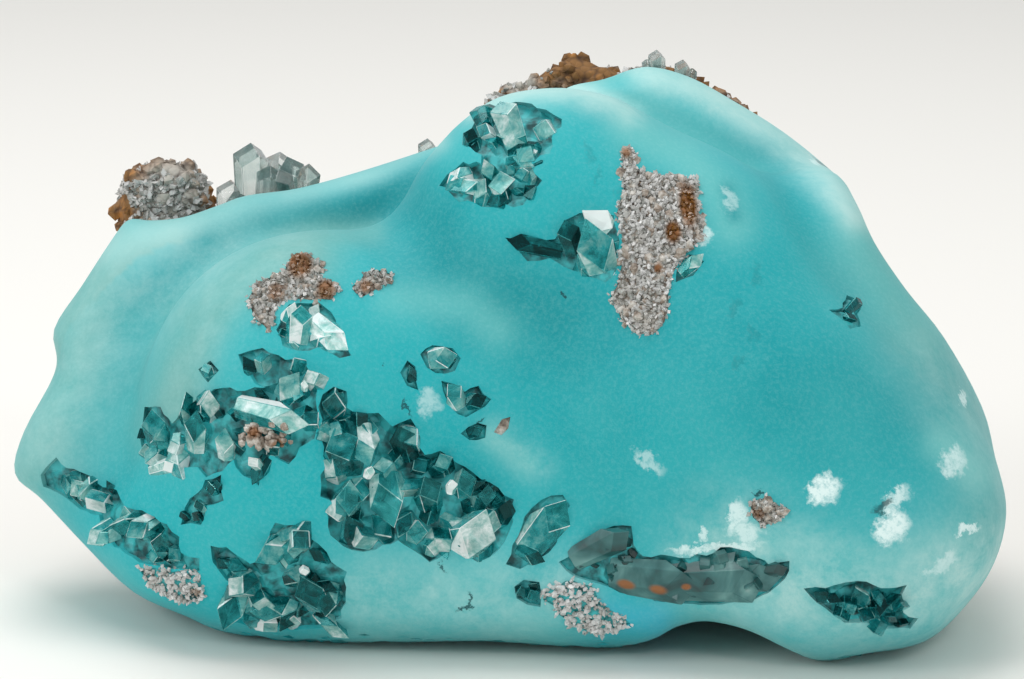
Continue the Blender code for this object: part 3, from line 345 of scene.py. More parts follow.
def make_object(name, points, faces):
    """A mesh object from points in millimetres, with its faces turned outwards."""
    mesh = bpy.data.meshes.new(name)
    mesh.from_pydata((np.array(points) * MM).tolist(), [], [list(map(int, face)) for face in faces])
    shape = bmesh.new()
    shape.from_mesh(mesh)
    bmesh.ops.recalc_face_normals(shape, faces=shape.faces)
    shape.to_mesh(mesh)
    shape.free()
    obj = bpy.data.objects.new(name, mesh)
    bpy.context.scene.collection.objects.link(obj)
    return obj


def evaluated(obj):
    """Replaces the object's mesh by what its modifiers make of it."""
    graph = bpy.context.evaluated_depsgraph_get()
    made = bpy.data.meshes.new_from_object(obj.evaluated_get(graph))
    obj.modifiers.clear()
    obj.data = made
    return obj


# How far from a point its slope is measured, and how far a point is moved at most to its surface
PROBE, MOST_MOVED = 0.25, 0.5


def facing(distance, points):
    """The way a solid faces at each point, and the distance outside it there."""
    slope = [distance(points + axis) - distance(points - axis) for axis in np.eye(3) * PROBE]
    normal = np.stack(slope, axis=1)
    return normal / np.linalg.norm(normal, axis=1)[:, None], distance(points)


def points_of(mesh):
    """The mesh's points in millimetres."""
    points = np.empty(len(mesh.vertices) * 3)
    mesh.vertices.foreach_get("co", points)
    return points.reshape(-1, 3) / MM


def refined(obj, levels, distance=None):
    """Subdivides the mesh, and lays its points on the surface that the distance describes."""
    modifier = obj.modifiers.new("Subdivision", "SUBSURF")
    modifier.levels = modifier.render_levels = levels
    evaluated(obj)
    if distance:
        points = points_of(obj.data)
        normal, gap = facing(distance, points)
        points = points - normal * np.clip(gap, -MOST_MOVED, MOST_MOVED)[:, None]
        obj.data.vertices.foreach_set("co", (points * MM).ravel())
    return obj


def cut_flat(obj, point, normal):
    """Cuts off what lies on the normal's side of a plane, and closes the cut."""
    shape = bmesh.new()
    shape.from_mesh(obj.data)
    found = bmesh.ops.bisect_plane(
        shape, geom=shape.verts[:] + shape.edges[:] + shape.faces[:],
        plane_co=tuple(point * MM), plane_no=tuple(normal), clear_outer=True,
    )
    rim = [item for item in found["geom_cut"] if isinstance(item, bmesh.types.BMEdge)]
    bmesh.ops.holes_fill(shape, edges=rim)
    bmesh.ops.recalc_face_normals(shape, faces=shape.faces)
    bmesh.ops.triangulate(shape, faces=shape.faces)
    shape.to_mesh(obj.data)
    shape.free()


def struck(solid, start, direction):
    """Where a straight line from a point first meets the solid, in mm, and which way that faces."""
    found, normal, _, _ = solid.ray_cast(Vector(start * MM), Vector(direction))
    return (np.array(found) / MM, np.array(normal)) if found else (None, None)


# By how much a place that isn't on the crust is drawn in at each try
DRAWN_IN = 0.99


def seen(places):
    """The points of the crust that are seen at places (across, up, ...); one past its rim is drawn in."""
    eye = MIDDLE - AWAY * SIGHT_DISTANCE
    found = []
    for across, up, *_ in places:
        point = None
        while point is None:
            point, _ = struck(skin, eye, placed(across, up, 0.0) - eye)
            across, up = across * DRAWN_IN, up * DRAWN_IN
        found.append(point)
    return np.array(found)


def moved_loop(loop, width):
    """The closed loop moved outwards by a width, or inwards where that is negative."""
    after = np.roll(loop, -1, axis=0) - loop
    turning = np.sign(np.sum(loop[:, 0] * np.roll(loop, -1, axis=0)[:, 1]
                             - loop[:, 1] * np.roll(loop, -1, axis=0)[:, 0]))
    after = after / np.linalg.norm(after, axis=1)[:, None]
    outward = turning * np.stack((after[:, 1], -after[:, 0]), axis=1)
    side = outward + np.roll(outward, 1, axis=0)
    length = np.linalg.norm(side, axis=1)[:, None]
    return loop + side / length * width * np.minimum(2 / length, 1.5)


def jagged(loop, step, depth, random):
    """The closed loop with corners added about a step apart, moved in and out by up to a depth."""
    corners = []
    for start, end in zip(loop, np.roll(loop, -1, axis=0)):
        along = end - start
        length = np.linalg.norm(along)
        count = max(int(round(length / step)), 1)
        square = np.array((along[1], -along[0])) / length
        corners.append(start)
        for share in np.arange(1, count) / count:
            corners.append(start + along * share + square * random.uniform(-depth, depth))
    return np.array(corners)


# A pocket's rim: how far apart its corners are, and how far they stray from the outline
RIM_STEP, RIM_STRAY = 0.9, 0.22

# The points inside a patch: how far they stray and how clear of the rim they stay, as shares of the
# spacing; and how far from the rim a point no longer counts as part of it
GRID_STRAY, GRID_CLEAR, RIM_WIDTH = 0.28, 0.4, 0.05


class Patch:
    """A patch of the crust's surface in which something has grown."""

    def __init__(self, corners, seed):
        rim = seen(corners)
        normals = [np.array(skin.find_nearest(Vector(point * MM))[1]) for point in rim]
        facing_out = np.array(normals).mean(axis=0)
        self.normal = facing_out / np.linalg.norm(facing_out)
        self.middle = rim.mean(axis=0)
        level = np.cross(np.array((0.0, 1.0, 0.0)), self.normal)
        self.side = level / np.linalg.norm(level)
        self.rise = np.cross(self.normal, self.side)
        loop = (rim - self.middle) @ np.stack((self.side, self.rise), axis=1)
        self.loop = jagged(loop, RIM_STEP, RIM_STRAY, np.random.default_rng(seed))

    def at(self, flat, height):
        """Points over places in the patch's plane, at heights over that plane."""
        return self.middle + flat @ np.stack((self.side, self.rise)) + height[:, None] * self.normal

    def surface(self, flat):
        """Height of the crust's surface over the patch's plane."""
        heights = []
        for start in self.at(flat, np.full(len(flat), RISE)):
            found, _ = struck(skin, start, -self.normal)
            height = 0.0 if found is None else (found - self.middle) @ self.normal
            heights.append(height if height > -DEEPEST else 0.0)
        return np.array(heights)

    def block(self, name, loop, spacing, random, under, over, margin=0.0):
        """A solid over the loop: `under` and `over` are heights over the surface, (edge, middle, scatter).

        Its upper faces that lie further in than the margin are marked grown_on.
        """
        low, high = loop.min(axis=0), loop.max(axis=0)
        grid = np.meshgrid(*[np.arange(a, b, spacing) for a, b in zip(low, high)])
        grid = np.stack(grid, axis=-1).reshape(-1, 2)
        grid = grid + random.uniform(-GRID_STRAY, GRID_STRAY, grid.shape) * spacing
        grid = grid[outline_distance(grid[:, 0], grid[:, 1], loop) < -spacing * GRID_CLEAR]
        flat = [Vector(place) for place in np.vstack((loop, grid))]
        flat, _, faces, _, _, _ = delaunay_2d_cdt(flat, [], [list(range(len(loop)))], 1, 1e-5)
        flat = np.array([tuple(place) for place in flat])
        depth_in = -outline_distance(flat[:, 0], flat[:, 1], loop)
        inner = depth_in > RIM_WIDTH
        surface = self.surface(flat)
        levels = []
        for edge, middle, scatter in (under, over):
            height = middle + random.uniform(-1, 1, len(flat)) * scatter
            levels.append(surface + np.where(inner, height, edge))
        count = len(flat)
        edges = {(a, b) for face in faces for a, b in zip(face, face[1:] + face[:1])}
        solid = [list(face) for face in faces]
        solid += [[corner + count for corner in face] for face in faces]
        solid += [[a, b, b + count, a + count] for a, b in edges if (b, a) not in edges]
        made = make_object(name, np.vstack([self.at(flat, level) for level in levels]), solid)
        grown = np.zeros(len(solid), bool)
        grown[len(faces):2 * len(faces)] = [depth_in[face].min() > margin for face in faces]
        attribute = made.data.attributes.new("grown_on", "BOOLEAN", "FACE")
        attribute.data.foreach_set("value", grown)
        return made


def hexed(value):
    """A colour from its sRGB hex value, made linear."""
    parts = [int(value[i:i + 2], 16) / 255 for i in (0, 2, 4)]
    return (*[p / 12.92 if p <= 0.04045 else ((p + 0.055) / 1.055) ** 2.4 for p in parts], 1.0)


def node(tree, kind, settings=None, links=None):
    """Adds a node, with its settings and the sockets that feed it."""
    made = tree.nodes.new(kind)
    for name, value in (settings or {}).items():
        if isinstance(name, str) and hasattr(made, name):
            setattr(made, name, value)
        else:
            made.inputs[name].default_value = value
    for name, source in (links or {}).items():
        tree.links.new(source, made.inputs[name])
    return made


def new_material(name):
    """A material with an empty node tree and its output."""
    material = bpy.data.materials.new(name)
    material.use_nodes = True
    material.node_tree.nodes.clear()
    return material, material.node_tree, node(material.node_tree, "ShaderNodeOutputMaterial")


# The crust's lower edge: how high its chips reach and how deep they are, how wide they are, and over
# what height a chip runs out
CHIP_REACH, CHIP_DEPTH, CHIP_SIZE, CHIP_EDGE = 2.2, 1.8, 2.6, 0.5


def chipped(obj):
    """Breaks the crust's lower edge back along an uneven line."""
    points = points_of(obj.data)
    normal, _ = facing(crust_distance, points)
    for index in np.flatnonzero(points[:, 2] < 2 * CHIP_REACH):
        x, y, z = points[index]
        reach = CHIP_REACH * (0.35 + noise.fractal(Vector((x, y, 0.0)) / CHIP_SIZE, 0.6, 2.0, 3))
        broken = min(max((reach - z) / CHIP_EDGE, 0.0), 1.0)
        points[index, :2] -= normal[index, :2] * CHIP_DEPTH * broken
    obj.data.vertices.foreach_set("co", (points * MM).ravel())


crust = make_object("rosasite_skin", *surface_of(crust_distance, LOWEST, HIGHEST, CRUST_CELL))
refined(crust, 1, crust_distance)
chipped(crust)
seam_point = placed(0.0, 0.0, SEAM_AWAY)
seam_normal = AWAY - SEAM_LEAN * UP
seam_normal = seam_normal / np.linalg.norm(seam_normal)
cut_flat(crust, BASE_POINT, DOWN)
cut_flat(crust, seam_point, seam_normal)
skin = BVHTree.FromObject(crust, bpy.context.evaluated_depsgraph_get())

# Colours of the crust: painted shade for its hollows, fresh, pale (on crests part wear and part painted
# highlight), a painted sheen along its rims, and a grey painted highlight on its lit sides and rims
PAINTED_SHADE, FRESH, PALE, PAINTED_SHEEN, GREY_HIGHLIGHT = "0b8b92", "1ea8af", "7ac3bf", "b4dbd6", "6ba59f"
BLUISH = "3cb2cc"

# Soft strokes laid over one another on the crust: colour, strength, half width, how near and how far
# away they reach, and the points (across, up) that the stroke runs through. Most of them paint light:
# painted shade in the hollows and on the belly, painted highlight and sheen on crests, rims and lit sides.
NEAR, FAR = -99.0, 99.0
STROKES = (
    (PAINTED_SHADE, 0.75, 11.0, NEAR, FAR, ((14.0, 2.0), (26.0, -3.0), (34.0, -6.0))),            # painted shade on the belly
    (GREY_HIGHLIGHT, 0.85, 8.0, 0.0, FAR, ((-44.0, -6.0), (-39.0, 4.0), (-30.0, 8.5))),          # painted highlight on the left back lobe, which faces the lamps
    (GREY_HIGHLIGHT, 0.8, 5.0, NEAR, FAR, ((-48.0, -12.0), (-44.0, -2.0), (-43.0, 4.0))),        # painted highlight on the left wing
    (PAINTED_SHEEN, 0.5, 2.6, NEAR, FAR, ((-40.0, 9.5), (-30.0, 11.0), (-24.0, 13.0))),          # painted sheen at the foot of the knob
    (PAINTED_SHEEN, 0.6, 1.3, NEAR, FAR, ((-22.0, 14.2), (-13.0, 16.6), (-7.5, 19.8))),          # painted sheen on the ridge on the left
    (PAINTED_SHADE, 0.9, 2.4, -2.0, FAR, ((-30.0, 9.5), (-22.0, 12.0), (-13.0, 13.2), (-8.0, 15.5))),   # painted shade in the valley
    (PAINTED_SHADE, 0.95, 4.5, NEAR, FAR, ((-9.0, 13.0), (-7.0, 8.5), (-1.0, 5.0), (4.0, 3.0))),  # painted shade under the dome
    (GREY_HIGHLIGHT, 0.8, 3.4, NEAR, 8.0, ((-35.0, -9.0), (-32.0, 2.0), (-27.0, 6.0), (-20.0, 8.5))),  # painted highlight on the left lobe
    (GREY_HIGHLIGHT, 0.6, 1.6, NEAR, 4.0, ((-33.0, -7.0), (-31.0, -1.0), (-28.5, 4.5), (-24.5, 8.6), (-18.5, 10.6),
                                   (-14.0, 10.8))),                                       # painted highlight on its crest
    (PALE, 0.45, 2.2, NEAR, FAR, ((-12.0, 4.0), (-4.5, 3.4), (-1.5, 1.0))),              # below the saddle
    (PAINTED_SHEEN, 0.8, 1.1, NEAR, FAR, ((-3.5, 23.0), (1.0, 24.8), (6.0, 25.0), (9.5, 24.0), (11.5, 22.6))),  # painted sheen along the top of the dome
    (PALE, 0.6, 2.6, NEAR, 4.0, ((12.0, 21.0), (17.0, 18.5), (21.0, 14.5), (22.0, 11.5))),
    (PALE, 0.5, 4.0, NEAR, FAR, ((36.0, 10.0), (41.0, 1.0))),                             # right shoulder
    (PALE, 0.25, 1.9, -1.0, FAR, ((8.5, 26.2), (13.5, 24.2), (19.5, 20.8), (24.0, 17.0),
                                  (26.0, 12.5))),                                         # behind the dome
    # painted sheen along the top rim on the right
    (PAINTED_SHEEN, 0.7, 1.7, NEAR, FAR, ((13.0, 27.2), (19.0, 25.2), (26.0, 21.2), (31.5, 17.0), (34.5, 12.0))),
    (PAINTED_SHADE, 0.7, 0.9, NEAR, FAR, ((21.6, 15.0), (22.2, 12.4))),                            # painted shade in the crease
    (GREY_HIGHLIGHT, 0.5, 5.0, NEAR, FAR, ((36.5, 8.0), (43.0, -1.0), (48.0, -12.0), (48.5, -20.0))),   # painted highlight on the right edge
    (PALE, 0.4, 5.0, NEAR, FAR, ((-14.0, -26.5), (-3.0, -25.0), (2.0, -28.5))),           # front of the base
    (PALE, 0.45, 5.5, NEAR, FAR, ((22.0, -24.5), (34.0, -26.5), (44.0, -25.0))),          # right foot
    (PALE, 0.25, 2.0, NEAR, FAR, ((20.0, -20.0), (30.0, -21.0), (38.0, -22.0), (44.0, -20.0))),
    (BLUISH, 0.8, 2.0, NEAR, FAR, ((9.0, -27.5), (14.5, -28.2))),                         # under the slab
    (PALE, 0.6, 2.0, NEAR, FAR, ((43.0, -10.5), (46.5, -13.5))),
    (PALE, 0.5, 1.4, NEAR, FAR, ((-2.5, -9.5), (1.5, -12.5))),                            # by the cluster
)

# Where a whitish bloom mottles the crust, laid out in the same way without the colour
MOTTLED = (
    (0.85, 6.0, NEAR, FAR, ((22.0, -22.0), (30.0, -25.0), (38.0, -26.5), (47.0, -23.0))),
    (0.3, 4.0, NEAR, FAR, ((42.0, -2.0), (47.5, -11.0), (48.5, -19.0))),
    (0.6, 4.5, NEAR, FAR, ((-14.0, -25.5), (-3.0, -26.5), (4.0, -24.5))),
    (0.35, 5.0, NEAR, FAR, ((-47.0, -11.0), (-41.0, 3.0), (-30.0, 8.0))),
    (0.6, 2.0, NEAR, FAR, ((13.0, 27.0), (26.0, 21.0), (34.0, 13.0))),
    (0.5, 1.6, NEAR, FAR, ((-4.0, 22.6), (1.0, 24.6), (6.0, 24.8), (12.0, 22.4))),
    (0.3, 2.4, NEAR, 2.0, ((-33.0, -6.0), (-29.0, 4.0), (-22.0, 9.0))),
    (0.45, 1.6, NEAR, FAR, ((-1.5, -9.5), (2.6, -12.6))),
)

# How far apart the surface is probed for how much it bends
BEND = 2.5

# Scuffs and bruises: (across, up), (half width, half height), turn in degrees, how strong
SCUFFS = (
    ((31.3, -15.0), (1.5, 1.3), 20.0, 1.0), ((38.0, -18.7), (1.5, 1.7), -30.0, 1.0),
    ((38.3, -15.9), (0.9, 1.5), -55.0, 0.8), ((22.4, -17.8), (0.8, 1.9), -25.0, 0.8),
    ((23.6, -19.3), (1.3, 1.2), 30.0, 0.7), ((20.4, -20.9), (4.4, 0.45), 8.0, 0.8),
    ((19.1, -19.5), (0.4, 0.7), 0.0, 0.7), ((13.8, -12.3), (1.5, 0.7), -35.0, 0.45),
    ((44.1, -12.3), (1.4, 1.3), 0.0, 0.7), ((45.6, -18.9), (1.4, 0.35), 4.0, 0.9),
    ((-8.4, -6.2), (1.1, 1.2), 20.0, 0.45), ((21.8, 14.0), (0.8, 1.0), 20.0, 0.4),
    ((30.8, 17.9), (0.7, 0.9), 20.0, 0.6), ((19.0, 11.0), (0.8, 1.5), 0.0, 0.75),
    ((45.1, -5.8), (0.7, 0.6), 0.0, 0.7), ((43.0, -22.5), (1.6, 0.7), 30.0, 0.5),
)

# Dark flecks and the hook-shaped crack: (across, up), (half width, half height), turn, how strong
FLECKS = (
    ((37.3, -16.6), (1.0, 0.55), 20.0, 0.8), ((-4.3, -26.1), (0.25, 0.8), 0.0, 0.9),
    ((-4.9, -26.9), (0.8, 0.2), 20.0, 0.9), ((24.2, -15.3), (0.4, 0.35), 30.0, 0.9),
    ((5.1, 4.4), (0.3, 0.35), 0.0, 0.9), ((-7.0, -22.8), (0.3, 0.3), 0.0, 0.8),
    ((31.5, 18.0), (0.5, 1.2), 35.0, 0.6), ((22.2, 3.2), (0.5, 1.0), -20.0, 0.18),
    ((24.6, 6.2), (0.6, 1.1), 10.0, 0.16), ((22.6, -2.4), (0.45, 0.9), -10.0, 0.18),
    ((24.0, 0.6), (0.4, 1.0), 20.0, 0.14), ((11.2, 14.4), (0.5, 1.1), 10.0, 0.2),
    ((7.6, 18.6), (0.5, 1.3), 15.0, 0.16), ((8.8, 16.2), (0.4, 0.9), -25.0, 0.16),
    ((-6.6, -11.9), (0.2, 0.2), 0.0, 0.6), ((-12.9, -2.4), (0.15, 0.15), 0.0, 0.7),
    ((-3.2, -8.0), (0.7, 0.18), 35.0, 0.85), ((-10.6, -6.8), (0.18, 0.9), 32.0, 0.85),
)


def under_stroke(sight, strength, width, near, far, course):
    """How much of a soft stroke lies on each point; `sight` is along the line of sight's axes."""
    spread = (SIGHT_DISTANCE + sight[:, 2]) / SIGHT_DISTANCE
    across, up = sight[:, 0] / spread, sight[:, 1] / spread
    off = np.full(len(sight), np.inf)
    for (x0, y0), (x1, y1) in zip(course, course[1:]):
        along = ((across - x0) * (x1 - x0) + (up - y0) * (y1 - y0)) / ((x1 - x0) ** 2 + (y1 - y0) ** 2)
        along = np.clip(along, 0, 1)
        off = np.minimum(off, np.hypot(across - x0 - along * (x1 - x0), up - y0 - along * (y1 - y0)))
    return strength * np.exp(-(off / width) ** 2) * (sight[:, 2] > near) * (sight[:, 2] < far)


def painted_crust(mesh):
    """Lays the soft tints on the crust as a colour for each point, painted shade and highlight among them;
    its alpha is how mottled it is.
    """
    sight = in_sight(points_of(mesh))
    colour = np.tile(hexed(FRESH), (len(sight), 1))
    around = [lobes_distance(sight + axis * side) for axis in np.eye(3) * BEND for side in (-1, 1)]
    bend = (np.sum(around, axis=0) - 6 * lobes_distance(sight)) / BEND ** 2
    # Painted shade where the surface bends inwards; pale crests, part wear and part painted highlight
    for tint, start, full, strength in ((PALE, 0.1, 0.25, 0.4), (PAINTED_SHADE, 0.05, -0.1, 0.6)):
        share = strength * np.clip((bend - start) / (full - start), 0, 1)[:, None]
        colour = colour * (1 - share) + np.array(hexed(tint)) * share
    for tint, *stroke in STROKES:
        share = under_stroke(sight, *stroke)[:, None]
        colour = colour * (1 - share) + np.array(hexed(tint)) * share
    colour[:, 3] = np.max([under_stroke(sight, *stroke) for stroke in MOTTLED], axis=0)
    attribute = mesh.attributes.new("tint", "FLOAT_COLOR", "POINT")
    attribute.data.foreach_set("color", colour.ravel())


def marks(tree, place, spots, find=seen):
    """Where the surface has one of the marks, from 0 to 1; each is an ellipsoid round a point on it."""
    found = None
    points = find([spot[0] for spot in spots])
    for point, (_, (wide, high), turn, strength) in zip(points, spots):
        local = node(tree, "ShaderNodeMapping", {
            "vector_type": "TEXTURE", "Location": tuple(point * MM),
            "Rotation": (0.0, math.radians(-turn), 0.0), "Scale": (wide * MM, 3 * wide * MM, high * MM),
        }, {"Vector": place})
        reach = node(tree, "ShaderNodeVectorMath", {"operation": "LENGTH"}, {0: local.outputs[0]})
        mark = node(tree, "ShaderNodeMapRange", {
            "interpolation_type": "SMOOTHSTEP", "From Min": 1.3, "From Max": 0.6, "To Min": 0.0,
            "To Max": strength,
        }, {"Value": reach.outputs["Value"]})
        if found is None:
            found = mark.outputs[0]
        else:
            found = node(tree, "ShaderNodeMath", {"operation": "MAXIMUM"},
                         {0: found, 1: mark.outputs[0]}).outputs[0]
    return found


# Rosasite: fine fibres seen end on, soft as velvet; bruised fibres turn pale, a whitish bloom mottles it, and
# the colour laid on its points holds painted shade in hollows and painted highlight and sheen on crests
rosasite, tree, output = new_material("rosasite")
place = node(tree, "ShaderNodeTexCoord").outputs["Object"]
wander = node(tree, "ShaderNodeTexNoise", {"Scale": 650.0, "Detail": 5.0, "Roughness": 0.7},
              {"Vector": place})
wander = node(tree, "ShaderNodeVectorMath",
              {"operation": "MULTIPLY_ADD", 1: (0.0036,) * 3, 2: (-0.0018,) * 3},
              {0: wander.outputs["Color"]})
ragged = node(tree, "ShaderNodeVectorMath", {"operation": "ADD"},
              {0: place, 1: wander.outputs[0]}).outputs[0]
tint = node(tree, "ShaderNodeAttribute", {"attribute_name": "tint"}).outputs
cloud = node(tree, "ShaderNodeTexNoise", {"Scale": 110.0, "Detail": 5.0, "Roughness": 0.6},
             {"Vector": place})
cloud = node(tree, "ShaderNodeMapRange",
             {"From Min": 0.35, "From Max": 0.7, "To Min": 0.0, "To Max": 0.3},
             {"Value": cloud.outputs["Fac"]})
colour = node(tree, "ShaderNodeMix", {"data_type": "RGBA", 7: hexed("46b2b4")},
              {0: cloud.outputs[0], 6: tint["Color"]}).outputs[2]
mottle = node(tree, "ShaderNodeTexNoise",
              {"Scale": 190.0, "Detail": 8.0, "Roughness": 0.78, "Distortion": 0.15},
              {"Vector": place})
mottle = node(tree, "ShaderNodeMapRange",
              {"From Min": 0.38, "From Max": 0.66, "To Min": 0.1, "To Max": 0.8},
              {"Value": mottle.outputs["Fac"]})
mottle = node(tree, "ShaderNodeMath", {"operation": "MULTIPLY"},
              {0: mottle.outputs[0], 1: tint["Alpha"]}).outputs[0]
colour = node(tree, "ShaderNodeMix", {"data_type": "RGBA", 7: hexed("c3dfda")},
              {0: mottle, 6: colour}).outputs[2]
grain = node(tree, "ShaderNodeTexNoise", {"Scale": 2600.0, "Detail": 3.0, "Roughness": 0.7},
             {"Vector": place})
speck = node(tree, "ShaderNodeMapRange",
             {"From Min": 0.3, "From Max": 0.75, "To Min": -0.05, "To Max": 0.11},
             {"Value": grain.outputs["Fac"]})
colour = node(tree, "ShaderNodeMix", {"data_type": "RGBA", 7: hexed("a6dad9")},
              {0: speck.outputs[0], 6: colour}).outputs[2]
patchy = node(tree, "ShaderNodeTexNoise", {"Scale": 1300.0, "Detail": 5.0, "Roughness": 0.75},
              {"Vector": place})
patchy = node(tree, "ShaderNodeMapRange",
              {"From Min": 0.36, "From Max": 0.52, "To Min": 0.5, "To Max": 1.0},
              {"Value": patchy.outputs["Fac"]})
scuffed = node(tree, "ShaderNodeMath", {"operation": "MULTIPLY"},
               {0: patchy.outputs[0], 1: marks(tree, ragged, SCUFFS)}).outputs[0]
colour = node(tree, "ShaderNodeMix", {"data_type": "RGBA", 7: hexed("dcf1ef")},
              {0: scuffed, 6: colour}).outputs[2]
colour = node(tree, "ShaderNodeMix", {"data_type": "RGBA", 7: hexed("14474b")},
              {0: marks(tree, ragged, FLECKS), 6: colour}).outputs[2]
dimples = node(tree, "ShaderNodeTexNoise", {"Scale": 420.0, "Detail": 4.0, "Roughness": 0.65},
               {"Vector": place})
relief = node(tree, "ShaderNodeBump", {"Strength": 0.35, "Distance": 0.00012},
              {"Height": dimples.outputs["Fac"]})
relief = node(tree, "ShaderNodeBump", {"Strength": 0.4, "Distance": 0.00004},
              {"Height": grain.outputs["Fac"], "Normal": relief.outputs[0]})
velvet = node(tree, "ShaderNodeBsdfPrincipled", {
    "Roughness": 0.55, "IOR": 1.5, "Specular IOR Level": 0.2, "Sheen Weight": 0.08, "Sheen Roughness": 0.35,
    "Sheen Tint": hexed("dff4f4"),
}, {"Base Color": colour, "Normal": relief.outputs[0]})
tree.links.new(velvet.outputs[0], output.inputs["Surface"])

# Pockets are cut with blocks: the step of their points, how uneven their floors are, and how high over
# the crust they reach
CUTTER_STEP, CUTTER_UNEVEN, CUTTER_HEIGHT = 1.6, 0.25, 4.0

# Edges of the crust that bend by more than this many degrees stay sharp
CRUST_SHARP = 38.0

patches = {name: Patch(corners, len(name)) for name, (_, corners) in POCKETS.items()}
cutters = bpy.data.collections.new("cutters")
bpy.context.scene.collection.children.link(cutters)
for index, (name, (depth, _)) in enumerate(POCKETS.items()):
    random = np.random.default_rng(100 + index)
    loop = moved_loop(patches[name].loop, POCKET_CLEARANCE)
    cutter = patches[name].block("pocket", loop, CUTTER_STEP, random, (-depth, -depth, CUTTER_UNEVEN),
                                 (CUTTER_HEIGHT, CUTTER_HEIGHT, 0.0))
    bpy.context.scene.collection.objects.unlink(cutter)
    cutters.objects.link(cutter)
modifier = crust.modifiers.new("Pockets", "BOOLEAN")
modifier.operation, modifier.solver = "DIFFERENCE", "EXACT"
modifier.operand_type, modifier.collection = "COLLECTION", cutters
evaluated(crust)
for cutter in list(cutters.objects):
    bpy.data.objects.remove(cutter)
bpy.data.collections.remove(cutters)
painted_crust(crust.data)
crust.data.shade_smooth()
crust.data.set_sharp_from_angle(angle=math.radians(CRUST_SHARP))
crust.data.materials.clear()
crust.data.materials.append(rosasite)
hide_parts("rosasite_crust")
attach(crust, "root")

# Limonite
# The rusty, crumbly iron ore that the crust grew on. It shows behind and in a knob and a ledge on
# top, and is weathered into small rounded lumps with pits between them.

MATRIX_LOBES = (
    ((0.0, -8.0, 15.0), (40.0, 21.0, 12.0), 0.0, 1.0),      # slab
    ((24.0, -8.0, 14.0), (21.0, 19.0, 10.0), -20.0, 5.0),   # right half
    ((15.0, 11.5, 15.0), (19.0, 16.0, 9.0), -28.0, 5.0),    # back of the dome
    ((-25.0, 4.5, 16.0), (20.0, 11.0, 8.0), 20.0, 5.0),     # left half
)
MATRIX_KNOBS = (
    ((-34.8, 12.8, 18.5), (6.7, 4.8, 5.4), 8.0, 2.0),       # knob at the left
    ((6.0, 24.0, 15.5), (8.4, 4.2, 3.6), 6.0, 2.0),         # ledge behind the dome
)

# How far inside the crust's outline the limonite stays, where it begins behind the show face, and the
# size of the cells that its surface is found with
MATRIX_INSET, MATRIX_FRONT, MATRIX_CELL = 1.4, 6.0, 1.4

# Lumps of the limonite: how many, how high, how far each reaches, and the seed of their places
LUMPS, LUMP_HEIGHT, LUMP_REACH, LUMP_SEED = 520, 2.0, 4.6, 5

# Weathering in metres: how deep it is and how large its lumps are
WEATHERING_DEPTH, WEATHERING_SIZE = 0.0011, 0.0026

# How far the limonite reaches past the seam into the crust, and the bend in degrees that stays sharp
SEAM_OVERLAP, LIMONITE_SHARP = 0.1, 50.0


def matrix_distance(points):
    """Distance outside the limonite, before it is cut off at the base and the seam."""
    sight = in_sight(points)
    value = np.full(len(points), 1e3)
    for lobe in MATRIX_LOBES:
        value = smooth_min(value, ellipsoid_distance(sight, lobe), lobe[3])
    value = smooth_max(value, beyond_outline(sight) + MATRIX_INSET, RIM_ROUNDING)
    for lobe in MATRIX_KNOBS:
        value = smooth_min(value, ellipsoid_distance(sight, lobe), lobe[3])
    lowest = (LOWEST[0], MATRIX_FRONT, LOWEST[2])
    lumps = np.random.default_rng(LUMP_SEED).uniform(lowest, HIGHEST, (LUMPS, 3))
    nearest = np.full(len(points), np.inf)
    for lump in lumps:
        nearest = np.minimum(nearest, np.linalg.norm(points - lump, axis=1))
    return value + LUMP_HEIGHT * (nearest / LUMP_REACH - 1)


def on_matrix(places):
    """The points at a height over the limonite's top; places are (x, y) from the middle and that height."""
    found = []
    for x, y, height in places:
        above = np.array((x + MIDDLE[0], y + MIDDLE[1], HIGHEST[2]))
        found.append(struck(ore, above, DOWN)[0] - DOWN * height)
    return np.array(found)


def new_tree(name, inputs):
    """A Geometry Nodes tree with a geometry input and output, and named inputs for its sizes."""
    tree = bpy.data.node_groups.new(name, "GeometryNodeTree")
    tree.interface.new_socket("Geometry", in_out="INPUT", socket_type="NodeSocketGeometry")
    for title, kind in inputs:
        tree.interface.new_socket(title, in_out="INPUT", socket_type=kind)
    tree.interface.new_socket("Geometry", in_out="OUTPUT", socket_type="NodeSocketGeometry")
    return tree, node(tree, "NodeGroupInput").outputs, node(tree, "NodeGroupOutput").inputs


def grown(obj, tree, values):
    """Runs the tree on the object with these inputs, and keeps the result as a plain mesh."""
    modifier = obj.modifiers.new(tree.name, "NODES")
    modifier.node_group = tree
    for item in tree.interface.items_tree:
        if item.in_out == "INPUT" and item.name in values:
            modifier[item.identifier] = values[item.name]
    return evaluated(obj)


